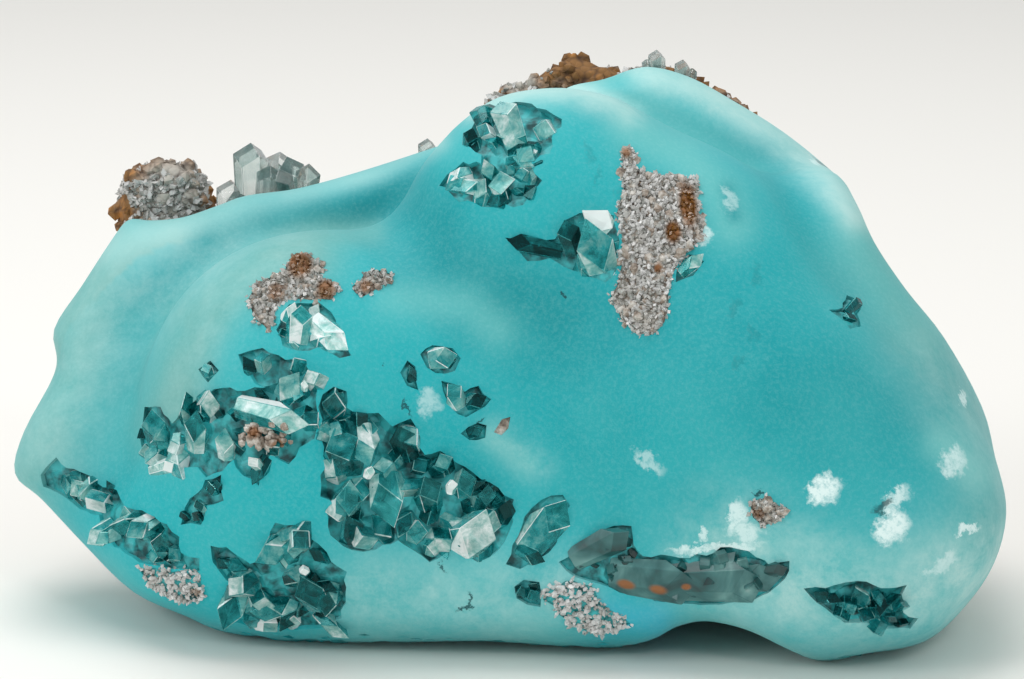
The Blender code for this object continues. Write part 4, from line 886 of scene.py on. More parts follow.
# Weathering: rounded lumps a few millimetres across, with smaller grains on them
weathered, given, made = new_tree("weathered", (("Depth", "NodeSocketFloat"), ("Size", "NodeSocketFloat")))
place = node(weathered, "GeometryNodeInputPosition").outputs[0]
per_metre = node(weathered, "ShaderNodeMath", {"operation": "DIVIDE", 0: 1.0}, {1: given["Size"]}).outputs[0]
lumps = node(weathered, "ShaderNodeTexVoronoi", {"feature": "SMOOTH_F1", "Smoothness": 0.35},
             {"Vector": place, "Scale": per_metre})
finer = node(weathered, "ShaderNodeMath", {"operation": "MULTIPLY", 1: 2.7}, {0: per_metre}).outputs[0]
grains = node(weathered, "ShaderNodeTexVoronoi", {"feature": "F1"}, {"Vector": place, "Scale": finer})
pitted = node(weathered, "ShaderNodeTexNoise", {"Detail": 4.0, "Roughness": 0.6},
              {"Vector": place, "Scale": per_metre})
height = node(weathered, "ShaderNodeMath", {"operation": "MULTIPLY_ADD", 1: -1.0},
              {0: lumps.outputs["Distance"], 2: pitted.outputs[0]}).outputs[0]
height = node(weathered, "ShaderNodeMath", {"operation": "MULTIPLY_ADD", 1: -0.35},
              {0: grains.outputs["Distance"], 2: height}).outputs[0]
height = node(weathered, "ShaderNodeMath", {"operation": "MULTIPLY"},
              {0: height, 1: given["Depth"]}).outputs[0]
shift = node(weathered, "ShaderNodeVectorMath", {"operation": "SCALE"},
             {0: node(weathered, "GeometryNodeInputNormal").outputs[0], "Scale": height}).outputs[0]
moved = node(weathered, "GeometryNodeSetPosition", {}, {"Geometry": given["Geometry"], "Offset": shift})
weathered.links.new(moved.outputs[0], made[0])

# Where grey druse dusts the limonite, and where turquoise does: (across, up, away), (half width, half
# height), turn, strength
DUSTY = (
    ((-34.4, 14.6, 13.5), (3.6, 3.4), 0.0, 0.95), ((0.4, 25.6, 13.0), (2.4, 1.2), 0.0, 0.9),
    ((12.6, 27.4, 13.5), (2.6, 0.7), 0.0, 0.9),
)
TURQUOISE = (((-35.8, 13.6, 9.0), (0.7, 0.45), 0.0, 1.0), ((-34.9, 13.2, 9.0), (0.45, 0.4), 0.0, 1.0))


def behind(places):
    """The points that are seen at places (across, up) and lie a distance away."""
    return np.array([placed(*place) for place in places])


# Limonite: rust-brown earthy crumbs, darker in the pits, with ochre and near-black grains
limonite, tree, output = new_material("limonite")
place = node(tree, "ShaderNodeTexCoord").outputs["Object"]
crumbs = node(tree, "ShaderNodeTexVoronoi", {"Scale": 1100.0, "Randomness": 1.0}, {"Vector": place})
shade = node(tree, "ShaderNodeTexNoise", {"Scale": 260.0, "Detail": 6.0, "Roughness": 0.7}, {"Vector": place})
colour = node(tree, "ShaderNodeMix", {"data_type": "RGBA", 6: hexed("9c6e3a"), 7: hexed("624829")},
              {0: shade.outputs["Fac"]}).outputs[2]
ochre = node(tree, "ShaderNodeTexNoise", {"Scale": 520.0, "Detail": 3.0}, {"Vector": place})
ochre = node(tree, "ShaderNodeMapRange",
             {"From Min": 0.56, "From Max": 0.72, "To Min": 0.0, "To Max": 0.75},
             {"Value": ochre.outputs["Fac"]})
colour = node(tree, "ShaderNodeMix", {"data_type": "RGBA", 7: hexed("bb7c36")},
              {0: ochre.outputs[0], 6: colour}).outputs[2]
dust = node(tree, "ShaderNodeTexNoise", {"Scale": 180.0, "Detail": 5.0, "Roughness": 0.65}, {"Vector": place})
dust = node(tree, "ShaderNodeMapRange", {"From Min": 0.5, "From Max": 0.66, "To Min": 0.0, "To Max": 0.55},
            {"Value": dust.outputs["Fac"]})
colour = node(tree, "ShaderNodeMix", {"data_type": "RGBA", 7: hexed("a79c8f")},
              {0: dust.outputs[0], 6: colour}).outputs[2]
colour = node(tree, "ShaderNodeMix", {"data_type": "RGBA", 7: hexed("b3b0a8")},
              {0: marks(tree, place, DUSTY, behind), 6: colour}).outputs[2]
colour = node(tree, "ShaderNodeMix", {"data_type": "RGBA", 7: hexed("4fb9b9")},
              {0: marks(tree, place, TURQUOISE, behind), 6: colour}).outputs[2]
pits = node(tree, "ShaderNodeMapRange", {"From Min": 0.45, "From Max": 0.9, "To Min": 0.0, "To Max": 0.8},
            {"Value": crumbs.outputs["Distance"]})
colour = node(tree, "ShaderNodeMix", {"data_type": "RGBA", 7: hexed("2c1a13")},
              {0: pits.outputs[0], 6: colour}).outputs[2]
relief = node(tree, "ShaderNodeBump", {"Strength": 0.8, "Distance": 0.0003, "invert": True},
              {"Height": crumbs.outputs["Distance"]})
earth = node(tree, "ShaderNodeBsdfPrincipled", {"Roughness": 0.85, "IOR": 1.5},
             {"Base Color": colour, "Normal": relief.outputs[0]})
tree.links.new(earth.outputs[0], output.inputs["Surface"])

lowest = (LOWEST[0], MATRIX_FRONT, LOWEST[2])
matrix = make_object("limonite_rock", *surface_of(matrix_distance, lowest, HIGHEST, MATRIX_CELL))
refined(matrix, 1)
grown(matrix, weathered, {"Depth": WEATHERING_DEPTH, "Size": WEATHERING_SIZE})
cut_flat(matrix, BASE_POINT, DOWN)
cut_flat(matrix, seam_point - seam_normal * SEAM_OVERLAP, -seam_normal)
ore = BVHTree.FromObject(matrix, bpy.context.evaluated_depsgraph_get())
matrix.data.materials.clear()
matrix.data.materials.append(limonite)
matrix.data.shade_smooth()
matrix.data.set_sharp_from_angle(angle=math.radians(LIMONITE_SHARP))
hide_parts("limonite_matrix")
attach(matrix, "root")

# Pocket beds
# The floor of each pocket, that the clear crystals stand on, lined with rosasite painted dark teal as painted
# shade. It is part of the specimen's own mass and shows between and through the crystals.

# Pocket lining: rosasite under glassy crystals, painted deep teal as painted shade, with paler grains
lining, tree, output = new_material("pocket_lining")
place = node(tree, "ShaderNodeTexCoord").outputs["Object"]
mottle = node(tree, "ShaderNodeTexNoise", {"Scale": 700.0, "Detail": 4.0}, {"Vector": place})
mottle = node(tree, "ShaderNodeMapRange", {"From Min": 0.36, "From Max": 0.6},
              {"Value": mottle.outputs["Fac"]})
colour = node(tree, "ShaderNodeMix", {"data_type": "RGBA", 6: hexed("0b4648"), 7: hexed("35abae")},
              {0: mottle.outputs[0]}).outputs[2]
deep = node(tree, "ShaderNodeBsdfPrincipled", {"Roughness": 0.5, "IOR": 1.5}, {"Base Color": colour})
tree.links.new(deep.outputs[0], output.inputs["Surface"])


def merged(name, parts):
    """One object made of several, which are removed."""
    shape = bmesh.new()
    for part in parts:
        shape.from_mesh(part.data)
    mesh = bpy.data.meshes.new(name)
    shape.to_mesh(mesh)
    shape.free()
    for part in parts:
        bpy.data.objects.remove(part)
    obj = bpy.data.objects.new(name, mesh)
    bpy.context.scene.collection.objects.link(obj)
    return obj


# A bed: the step of its points, how uneven its top is, and how far it reaches past its pocket
BED_STEP, BED_UNEVEN, BED_REACH = 0.8, 0.3, 0.3

# Height of a bed's edge and of its middle, and how far in from its edge things grow: a bed of druse lies
# about level with the crust and is grown over whole, other beds lie near the bottom of their pockets
DRUSY = ("druse", "limonite")
DRUSE_EDGE, DRUSE_TOP, DRUSE_MARGIN = -0.25, 0.15, -1.0
CRYSTAL_EDGE, CRYSTAL_RAISED, CRYSTAL_MARGIN = -0.5, 0.8, 0.15
beds = {}
for index, (name, (depth, _)) in enumerate(POCKETS.items()):
    random = np.random.default_rng(200 + index)
    loop = moved_loop(patches[name].loop, BED_REACH)
    edge, top, margin = CRYSTAL_EDGE, CRYSTAL_RAISED - depth, CRYSTAL_MARGIN
    if name.startswith(DRUSY):
        edge, top, margin = DRUSE_EDGE, DRUSE_TOP, DRUSE_MARGIN
    bottom = -depth - BED_REACH
    beds[name] = patches[name].block(name + "_bed", loop, BED_STEP, random, (bottom, bottom, 0.0),
                                     (edge, top, BED_UNEVEN), margin)

# Calcite crystals
# Clear calcite: pointed six-sided crystals, tightly grown together in the pockets and crossing
# their rims. They are glassy, so the floor, painted dark teal as shade, shows through between glints, some
# real and some painted.

# What grows in each pocket: seed, small crystals per square millimetre, their width and how light they
# are, and the large ones as foot, tip (across, up, height over the crust), (width, thickness), lightness;
# the small raised ones with a lightness near 1 are painted glints
CLUSTERS = {
    "calcite_upper": (11, 0.30, 1.7, 0.45, (
        ((0.6, 18.6, -0.6), (-0.8, 23.2, 1.2), (3.2, 2.6), 0.5),
        ((2.6, 21.4, -0.6), (4.8, 20.0, 1.2), (2.6, 2.2), 0.65),
        ((-2.8, 21.2, -0.6), (-3.2, 22.8, 0.9), (2.0, 1.8), 0.25),
        ((-4.6, 19.4, -0.6), (-3.6, 20.8, 0.8), (1.9, 1.6), 0.2),
        ((0.8, 19.0, -0.6), (2.8, 17.2, 1.2), (2.4, 2.0), 0.55),
        ((-5.6, 16.4, -0.6), (-5.0, 14.0, 1.1), (2.6, 2.2), 0.4),
        ((-2.0, 15.6, -0.6), (0.8, 15.4, 1.2), (2.8, 2.2), 0.6),
        ((-0.8, 14.2, -0.5), (-2.4, 13.2, 0.6), (2.2, 1.6), 0.1),
        ((1.4, 14.6, -0.5), (2.8, 15.0, 0.9), (2.0, 1.6), 0.3))),
    "calcite_centre": (13, 0.35, 1.4, 0.3, (
        ((9.2, 6.4, -0.8), (7.6, 11.8, 2.0), (4.2, 3.6), 0.76),
        ((9.6, 10.6, -0.2), (7.2, 12.6, 1.9), (3.4, 2.2), 0.95),
        ((6.4, 8.2, -0.6), (5.4, 11.8, 1.1), (2.6, 2.0), 0.2),
        ((8.0, 6.6, -0.6), (6.6, 8.4, 1.0), (2.2, 1.8), 0.45),
        ((5.8, 8.6, -0.3), (-0.5, 9.9, 0.5), (2.0, 0.9), 0.08))),
    "calcite_fin": (14, 0.0, 1.0, 0.5, (((16.5, 6.5, -0.4), (19.2, 8.2, 1.0), (1.7, 0.7), 0.55),)),
    "calcite_left_blade": (16, 0.3, 1.4, 0.6, (
        ((-20.4, 2.6, -0.4), (-16.3, -1.5, 0.9), (2.8, 1.5), 0.86),
        ((-21.6, -0.8, -0.5), (-21.0, 3.0, 1.2), (2.6, 1.8), 0.75),
        ((-22.8, 1.6, -0.4), (-21.6, 3.4, 0.9), (1.6, 1.2), 0.92))),
    "calcite_left_field": (18, 0.24, 1.9, 0.45, (
        ((-35.3, -11.4, -0.5), (-35.5, -6.9, 1.1), (3.0, 2.0), 0.42),
        ((-36.4, -13.2, -0.3), (-33.4, -12.4, 0.8), (1.6, 1.3), 0.94),
        ((-28.4, -6.4, -0.1), (-19.3, -8.5, 1.9), (2.9, 2.2), 0.72),
        ((-23.4, -6.2, -0.5), (-20.6, -3.2, 1.3), (3.0, 2.0), 0.58),
        # painted glints: two small white crystals
        ((-20.6, -5.2, 0.4), (-19.9, -4.0, 1.7), (0.9, 0.7), 0.99),
        ((-25.0, -13.0, -0.2), (-25.8, -11.7, 1.2), (1.4, 1.0), 0.98),
        ((-24.4, -11.4, -0.6), (-25.8, -14.6, 0.5), (1.9, 1.4), 0.08),
        ((-26.0, -3.6, -0.5), (-26.6, -1.6, 0.7), (1.8, 1.4), 0.3),
        ((-31.8, -11.6, -0.6), (-31.0, -7.0, 1.1), (2.7, 2.0), 0.55),
        ((-28.8, -12.2, -0.6), (-28.2, -8.8, 1.0), (2.3, 1.8), 0.62),
        ((-33.6, -9.4, -0.4), (-33.0, -11.6, 1.3), (1.9, 1.5), 0.68))),
    "calcite_chain": (19, 0.6, 1.2, 0.25, (
        ((-29.9, -15.6, -0.5), (-30.0, -14.0, 0.7), (1.5, 1.2), 0.3),
        ((-29.5, -15.4, -0.5), (-29.2, -13.9, 0.6), (1.1, 0.9), 0.15),
        ((-30.9, -17.4, -0.5), (-31.2, -15.8, 0.7), (1.4, 1.1), 0.45),
        ((-32.0, -18.2, -0.5), (-31.0, -17.0, 0.6), (1.3, 1.0), 0.2),
        ((-32.6, -18.2, -0.5), (-32.8, -17.0, 0.6), (1.1, 0.9), 0.1))),
    "calcite_main_cluster": (20, 0.20, 2.2, 0.4, (
        ((-18.6, -7.4, -0.6), (-16.8, -5.1, 0.8), (1.9, 1.2), 0.06),
        ((-16.4, -13.4, -0.8), (-17.8, -8.6, 1.2), (4.0, 3.2), 0.42),
        ((-15.0, -8.2, -0.8), (-14.2, -12.6, 1.5), (2.8, 2.4), 0.6),
        ((-10.2, -12.4, -0.8), (-11.4, -8.4, 1.2), (3.0, 2.2), 0.15),
        ((-16.8, -17.6, -0.8), (-16.2, -13.8, 1.5), (3.2, 2.6), 0.72),
        ((-12.8, -12.8, -0.8), (-11.8, -18.6, 1.8), (4.0, 3.2), 0.66),
        ((-8.0, -17.4, -0.8), (-8.8, -13.4, 1.6), (3.0, 2.4), 0.56),
        ((-6.4, -13.4, -0.8), (-7.2, -11.2, 1.1), (2.2, 1.8), 0.3),
        ((-4.8, -15.8, -0.8), (-5.0, -12.6, 1.5), (2.6, 2.2), 0.5),
        ((-3.4, -17.2, -0.8), (-2.4, -14.2, 1.2), (2.4, 2.0), 0.22),
        ((-1.2, -18.6, -0.8), (-0.2, -15.8, 0.8), (2.0, 1.6), 0.12),
        ((-5.4, -21.4, -0.8), (-2.6, -16.6, 2.0), (4.8, 3.6), 0.8),
        ((-9.8, -20.2, -0.8), (-9.4, -17.8, 1.2), (2.4, 2.0), 0.74),
        ((-8.2, -21.6, -0.8), (-7.6, -19.6, 1.0), (1.9, 1.6), 0.55),
        ((-15.8, -20.4, -0.8), (-16.6, -17.4, 0.9), (2.8, 2.2), 0.28),
        # painted glints: two small white crystals
        ((-6.2, -15.4, 0.6), (-6.0, -13.7, 1.9), (1.2, 0.9), 0.99),
        ((-14.6, -13.8, 0.6), (-14.0, -12.4, 1.8), (1.1, 0.8), 0.97))),
    "calcite_lower_left": (51, 0.34, 1.9, 0.42, (
        ((-38.4, -18.8, -0.5), (-38.0, -16.4, 1.2), (2.0, 1.5), 0.92),
        ((-42.4, -16.6, -0.6), (-43.4, -13.8, 1.0), (2.6, 2.0), 0.5),
        ((-35.4, -21.4, -0.6), (-34.4, -19.2, 1.0), (2.6, 2.0), 0.62))),
    "calcite_lower_cluster": (23, 0.22, 2.2, 0.35, (
        ((-19.2, -27.2, -0.7), (-20.8, -22.8, 1.4), (3.4, 2.8), 0.52),
        ((-25.6, -27.2, -0.7), (-24.4, -25.0, 1.2), (2.8, 2.2), 0.6),
        ((-22.4, -22.4, -0.6), (-22.0, -19.4, 0.9), (2.6, 2.0), 0.3),
        # painted glint: a small white crystal
        ((-20.6, -23.0, 0.5), (-20.4, -21.8, 1.7), (1.2, 1.0), 0.98),
        ((-28.6, -22.8, -0.5), (-29.4, -21.4, 0.8), (1.8, 1.5), 0.15),
        ((-25.8, -28.6, -0.4), (-23.2, -27.8, 0.9), (2.2, 1.8), 0.93),
        ((-22.2, -28.8, -0.4), (-21.6, -27.2, 0.8), (1.8, 1.5), 0.86))),
    "calcite_blade": (24, 0.0, 1.2, 0.5, (
        ((0.8, -21.8, -0.5), (5.5, -15.9, 1.0), (3.8, 1.7), 0.6),
        ((0.2, -20.6, -0.4), (3.4, -22.2, 0.6), (1.9, 1.3), 0.35))),
    "calcite_base_left": (27, 0.0, 1.3, 0.12, (
        ((0.9, -25.9, -0.6), (1.0, -24.3, 0.7), (1.5, 1.2), 0.15),
        ((2.3, -26.3, -0.6), (1.9, -24.7, 0.8), (1.6, 1.3), 0.28),
        ((2.6, -25.0, -0.5), (1.6, -24.2, 0.6), (1.2, 1.0), 0.4))),
    "calcite_lower_right": (28, 0.45, 1.6, 0.16, (
        ((31.6, -26.2, -0.6), (30.0, -24.8, 0.7), (1.8, 1.4), 0.12),
        ((37.4, -27.4, -0.6), (38.8, -24.9, 0.9), (2.0, 1.6), 0.3))),
    "calcite_single_left": (29, 0.0, 1.0, 0.5, (((-30.2, -3.8, -0.2), (-30.4, -2.4, 0.6), (1.5, 1.2), 0.4),)),
    "calcite_single_upper": (30, 0.0, 1.0, 0.5, (
        ((-8.6, -2.0, -0.4), (-5.6, -1.8, 0.8), (2.5, 1.7), 0.68),
        ((-6.6, -2.8, -0.3), (-6.0, -1.6, 0.7), (1.2, 1.0), 0.2))),
    "calcite_single_slim": (31, 0.0, 1.0, 0.5, (((-9.8, -4.4, -0.3), (-10.4, -2.6, 0.5), (1.2, 0.9), 0.1),)),
    "calcite_pair": (32, 0.0, 1.0, 0.5, (
        ((-4.9, -7.0, -0.4), (-6.6, -4.5, 0.8), (2.2, 1.4), 0.66),
        ((-4.8, -6.4, -0.4), (-2.6, -5.8, 0.7), (1.9, 1.3), 0.18))),
    "calcite_single_lower": (33, 0.0, 1.0, 0.5, (((-4.6, -9.5, -0.3), (-2.9, -8.8, 0.6), (1.3, 1.0), 0.1),)),
    "calcite_butterfly": (35, 0.0, 1.0, 0.5, (
        ((33.4, 2.6, -0.3), (34.6, 3.7, 0.5), (1.2, 1.0), 0.2),
        ((33.2, 2.6, -0.3), (34.4, 1.5, 0.5), (1.2, 1.0), 0.35))),
}


def crystal_mesh(foot, tip, wide, thin, width, thickness, steep, taper, twist):
    """Points and faces of a six-sided prism from foot to tip that ends in three slanted faces.

    `taper` is the foot's width as a share of the full width; `steep` is for the slanted faces.
    """
    along = tip - foot
    length = np.linalg.norm(along)
    drop = steep * width / 2 / length
    points = []
    for share, size in ((0.0, taper), (None, 1.0)):
        for corner in range(6):
            angle = math.radians(60 * corner) + twist
            reach = share if share is not None else 1.0 - drop * (1 if corner % 2 == 0 else 2)
            points.append(foot + along * max(reach, 0.12)
                          + size * (wide * math.cos(angle) * width + thin * math.sin(angle) * thickness) / 2)
    points.append(tip)
    faces = [[i, (i + 1) % 6, 6 + (i + 1) % 6, 6 + i] for i in range(6)]
    faces += [[5, 4, 3, 2, 1, 0]]
    faces += [[12, 6 + i, 6 + (i + 1) % 6, 6 + (i + 2) % 6] for i in (0, 2, 4)]
    return points, faces


# How far the edges of the larger crystals are blunted, and how narrow their feet are
CHAMFER, TAPER = 0.045, 0.8


def chamfered(obj, width):
    """Blunts the edges of a crystal a little; the narrow faces there are marked edge, which the clear and
    frosted calcite paint lighter, a painted highlight.
    """
    shape = bmesh.new()
    shape.from_mesh(obj.data)
    edge = shape.faces.layers.float.new("edge")
    made = bmesh.ops.bevel(shape, geom=shape.edges[:], offset=width * MM, segments=1, affect="EDGES",
                           clamp_overlap=True)
    for face in made["faces"]:
        face[edge] = 1.0
    shape.to_mesh(obj.data)
    shape.free()
    return obj


def square_axes(along, flat_side):
    """Two directions square to a crystal's length, the second as near to `flat_side` as can be."""
    along = along / np.linalg.norm(along)
    thin = flat_side - along * (flat_side @ along)
    thin = thin / np.linalg.norm(thin)
    return np.cross(along, thin), thin


# Crystals to scatter, 1 mm wide and standing on their feet: length, flatness, how steep the tip's
# faces are, and turn
SCATTERED = ((1.1, 0.9, 0.9, 0.0), (1.5, 0.75, 1.2, 0.3), (0.9, 1.0, 0.7, 0.9), (1.3, 0.65, 1.0, 0.5),
             (1.2, 0.85, 1.1, 0.2))

# How deep they are rooted, the blunting of their edges, and how far they turn: once round, in radians
ROOT, SCATTERED_CHAMFER, FULL_TURN = 0.35, 0.03, 6.283


def scatter_shapes(name, chamfer):
    """A collection of the crystals to scatter, with their edges blunted by this much."""
    found = bpy.data.collections.new(name)
    bpy.context.scene.collection.children.link(found)
    for number, (length, flatness, steep, twist) in enumerate(SCATTERED):
        foot, tip = np.array((0.0, 0.0, -ROOT)), np.array((0.0, 0.0, length))
        wide, thin = np.array((1.0, 0.0, 0.0)), np.array((0.0, 1.0, 0.0))
        shape = make_object(f"{name}_{number}", *crystal_mesh(
            foot, tip, wide, thin, 1.0, flatness, steep, TAPER, twist))
        if chamfer:
            chamfered(shape, chamfer)
        bpy.context.scene.collection.objects.unlink(shape)
        found.objects.link(shape)
    return found


shapes = scatter_shapes("crystal_shapes", SCATTERED_CHAMFER)
grain_shapes = scatter_shapes("grain_shapes", 0.0)

# Scattering: crystals stand on the faces marked grown_on, each turned, tipped and sized at random
scattered, given, made = new_tree("scattered", (
    ("Per Square Metre", "NodeSocketFloat"), ("Width", "NodeSocketFloat"), ("Lean", "NodeSocketFloat"),
    ("Lightness", "NodeSocketFloat"), ("Seed", "NodeSocketInt"), ("Shapes", "NodeSocketCollection"),
    ("Material", "NodeSocketMaterial")))
marked = node(scattered, "GeometryNodeInputNamedAttribute", {"data_type": "BOOLEAN", "Name": "grown_on"})
spots = node(scattered, "GeometryNodeDistributePointsOnFaces", {}, {
    "Mesh": given["Geometry"], "Selection": marked.outputs[0], "Density": given["Per Square Metre"],
    "Seed": given["Seed"]})
models = node(scattered, "GeometryNodeCollectionInfo", {"Separate Children": True, "Reset Children": True},
              {"Collection": given["Shapes"]})
less = node(scattered, "ShaderNodeMath", {"operation": "MULTIPLY", 1: -1.0}, {0: given["Lean"]}).outputs[0]
tips = []
for step in (1.0, 2.0):
    index = node(scattered, "GeometryNodeInputIndex").outputs[0]
    seed = node(scattered, "ShaderNodeMath", {"operation": "ADD", 1: step}, {0: given["Seed"]}).outputs[0]
    tips.append(node(scattered, "FunctionNodeRandomValue", {"data_type": "FLOAT"},
                     {2: less, 3: given["Lean"], "ID": index, "Seed": seed}).outputs[1])
spin = node(scattered, "FunctionNodeRandomValue", {"data_type": "FLOAT", 2: 0.0, 3: FULL_TURN},
            {"Seed": given["Seed"]}).outputs[1]
turned = node(scattered, "FunctionNodeRotateEuler", {"rotation_type": "EULER", "space": "LOCAL"}, {
    "Rotation": spots.outputs["Rotation"],
    "Rotate By": node(scattered, "ShaderNodeCombineXYZ", {}, {0: tips[0], 1: tips[1], 2: spin}).outputs[0]})
size = node(scattered, "FunctionNodeRandomValue", {"data_type": "FLOAT", 2: 0.6, 3: 1.45},
            {"Seed": given["Seed"]}).outputs[1]
size = node(scattered, "ShaderNodeMath", {"operation": "MULTIPLY"}, {0: size, 1: given["Width"]}).outputs[0]
size = node(scattered, "ShaderNodeMath", {"operation": "MULTIPLY", 1: 1 / MM}, {0: size}).outputs[0]
stood = node(scattered, "GeometryNodeInstanceOnPoints", {"Pick Instance": True}, {
    "Points": spots.outputs["Points"], "Instance": models.outputs[0], "Rotation": turned.outputs[0],
    "Scale": size})
light = node(scattered, "FunctionNodeRandomValue", {"data_type": "FLOAT", 2: -0.3, 3: 0.3},
             {"Seed": given["Seed"]}).outputs[1]
light = node(scattered, "ShaderNodeMath", {"operation": "ADD"}, {0: light, 1: given["Lightness"]}).outputs[0]
shaded = node(scattered, "GeometryNodeStoreNamedAttribute",
              {"domain": "INSTANCE", "data_type": "FLOAT", "Name": "tone"},
              {"Geometry": stood.outputs[0], "Value": light})
solid = node(scattered, "GeometryNodeRealizeInstances", {}, {"Geometry": shaded.outputs[0]})
finished = node(scattered, "GeometryNodeSetMaterial", {},
                {"Geometry": solid.outputs[0], "Material": given["Material"]})
scattered.links.new(finished.outputs[0], made[0])


def colour_ramp(tree, value, stops):
    """A colour for each value from 0 to 1, from (value, hex) stops.

    Moving a stop can change the order of the ramp's elements, so the colours are set after all moves.
    """
    ramp = node(tree, "ShaderNodeValToRGB", {}, {"Fac": value})
    for _ in stops[2:]:
        ramp.color_ramp.elements.new(0.5)
    for element, (at, _) in zip(ramp.color_ramp.elements, stops):
        element.position = at
    for element, (_, colour) in zip(ramp.color_ramp.elements, stops):
        element.color = hexed(colour)
    return ramp.outputs["Color"]


# Calcite: clear and glassy. Its teal is that of the rosasite under it, near-black as painted shade where
# little light gets in, and greenish grey where fine cracks veil it;
# each cleavage face lets through its own share and is painted lighter or darker at random, as painted glints
# and dark reflections, the lightest near white.
calcite, tree, output = new_material("clear_calcite")
place = node(tree, "ShaderNodeTexCoord").outputs["Object"]
tone = node(tree, "ShaderNodeAttribute", {"attribute_name": "tone"}).outputs["Fac"]
facet = node(tree, "ShaderNodeAttribute", {"attribute_name": "facet"}).outputs["Fac"]
edge = node(tree, "ShaderNodeAttribute", {"attribute_name": "edge"}).outputs["Fac"]
# Painted glints and dark reflections: each face lighter or darker at random
tone = node(tree, "ShaderNodeMath", {"operation": "MULTIPLY_ADD", 1: 0.32},
            {0: facet, 2: tone}).outputs[0]
# Painted highlight: the blunted edges lighter
tone = node(tree, "ShaderNodeMath", {"operation": "MULTIPLY_ADD", 1: 0.12}, {0: edge, 2: tone}).outputs[0]
veil = node(tree, "ShaderNodeTexNoise",
            {"Scale": 520.0, "Detail": 5.0, "Roughness": 0.7, "Distortion": 0.4},
            {"Vector": place}).outputs["Fac"]
drift = node(tree, "ShaderNodeMath", {"operation": "MULTIPLY_ADD", 1: 1.1, 2: -0.6}, {0: veil}).outputs[0]
tone = node(tree, "ShaderNodeMath", {"operation": "ADD", "use_clamp": True}, {0: tone, 1: drift}).outputs[0]
colour = colour_ramp(tree, tone, (
    (0.04, "053335"), (0.27, "0f7a7d"), (0.5, "37adb0"), (0.72, "9acdc6"), (0.95, "f8faf9")))
clear = node(tree, "ShaderNodeMapRange",
             {"From Min": 0.2, "From Max": 0.95, "To Min": 0.8, "To Max": 0.3},
             {"Value": tone})
haze = node(tree, "ShaderNodeMapRange",
            {"From Min": 0.5, "From Max": 0.75, "To Min": 0.02, "To Max": 0.2},
            {"Value": veil})
glass = node(tree, "ShaderNodeBsdfPrincipled", {
    "IOR": 1.6, "Specular IOR Level": 0.4, "Specular Tint": hexed("7fd0cd")}, {
    "Base Color": colour, "Roughness": haze.outputs[0], "Transmission Weight": clear.outputs[0]})
depth_tint = node(tree, "ShaderNodeVolumeAbsorption", {"Color": hexed("7fd0ce"), "Density": 160.0})
tree.links.new(glass.outputs[0], output.inputs["Surface"])
tree.links.new(depth_tint.outputs[0], output.inputs["Volume"])


def toned(mesh, tone):
    """How light the crystal is, from 0 to 1, kept on its points."""
    attribute = mesh.attributes.new("tone", "FLOAT", "POINT")
    attribute.data.foreach_set("value", [tone] * len(mesh.vertices))


def painted_glints(mesh):
    """How much lighter or darker than the crystal each of its faces is painted, from -1 to 1: painted glints
    and dark reflections.
    """
    random = np.random.default_rng(len(mesh.polygons))
    attribute = mesh.attributes.new("facet", "FLOAT", "FACE")
    attribute.data.foreach_set("value", random.uniform(-1, 1, len(mesh.polygons)))


# Nothing of a piece lies lower than this over the floor
LEAST_HEIGHT = 0.05

# Materials that let light through, so that their pieces cast no dark shadow in the pockets
SEE_THROUGH = ("clear_calcite", "smoky_calcite", "frosted_calcite")


def above_floor(mesh):
    """Lays what would reach under the base flat on it."""
    points = points_of(mesh)
    points[:, 2] = np.maximum(points[:, 2], LEAST_HEIGHT)
    mesh.vertices.foreach_set("co", (points * MM).ravel())
    mesh.update()


def copy_of(obj, name):
    """A second object with a mesh of its own."""
    twin = bpy.data.objects.new(name, obj.data.copy())
    bpy.context.scene.collection.objects.link(twin)
    return twin


def finished_piece(obj, material, nodes):
    """Flat facets, each with a random painted glint value, the material, and the CAD nodes that the piece
    stands for.
    """
    obj.data.materials.clear()
    obj.data.materials.append(material)
    painted_glints(obj.data)
    above_floor(obj.data)
    if nodes:
        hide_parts(*nodes)
    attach(obj, "root")
    obj.visible_shadow = material.name not in SEE_THROUGH


def large_crystals(name, patch, crystals, random):
    """The listed crystals of a pocket."""
    made = []
    for number, (foot, tip, (width, thickness), tone) in enumerate(crystals):
        foot, tip = seen((foot, tip)) + patch.normal * np.array(((foot[2],), (tip[2],)))
        wide, thin = square_axes(tip - foot, patch.normal)
        steep = random.uniform(0.7, 1.3)
        twist = random.uniform(0, 0.5)
        crystal = make_object(f"{name}_{number}", *crystal_mesh(
            foot, tip, wide, thin, width, thickness, steep, TAPER, twist))
        chamfered(crystal, CHAMFER)
        toned(crystal.data, tone)
        made.append(crystal)
    return made


for name, (seed, dense, width, lightness, crystals) in CLUSTERS.items():
    parts = large_crystals(name, patches[name], crystals, np.random.default_rng(seed))
    if dense:
        parts.append(grown(copy_of(beds[name], "scatter"), scattered, {
            "Per Square Metre": dense * 1e6, "Width": width * MM, "Lean": 0.9, "Lightness": lightness,
            "Seed": seed, "Shapes": shapes, "Material": calcite}))
    finished_piece(merged(name + "_crystals", parts), calcite, (name,))

# Smoky base slab
# A wedge of grey-teal calcite at the front of the base, with a pointed crystal at its left end and
# rusty specks in it. It is let into the crust's lower edge.

# Rusty specks in the slab: (across, up), (half width, half height), turn, strength
RUST_IN_SLAB = (
    ((11.4, -24.4), (0.9, 0.5), -12.0, 1.0), ((14.6, -24.8), (0.9, 0.5), -10.0, 1.0),
    ((17.4, -24.6), (0.5, 0.35), 0.0, 1.0),
)

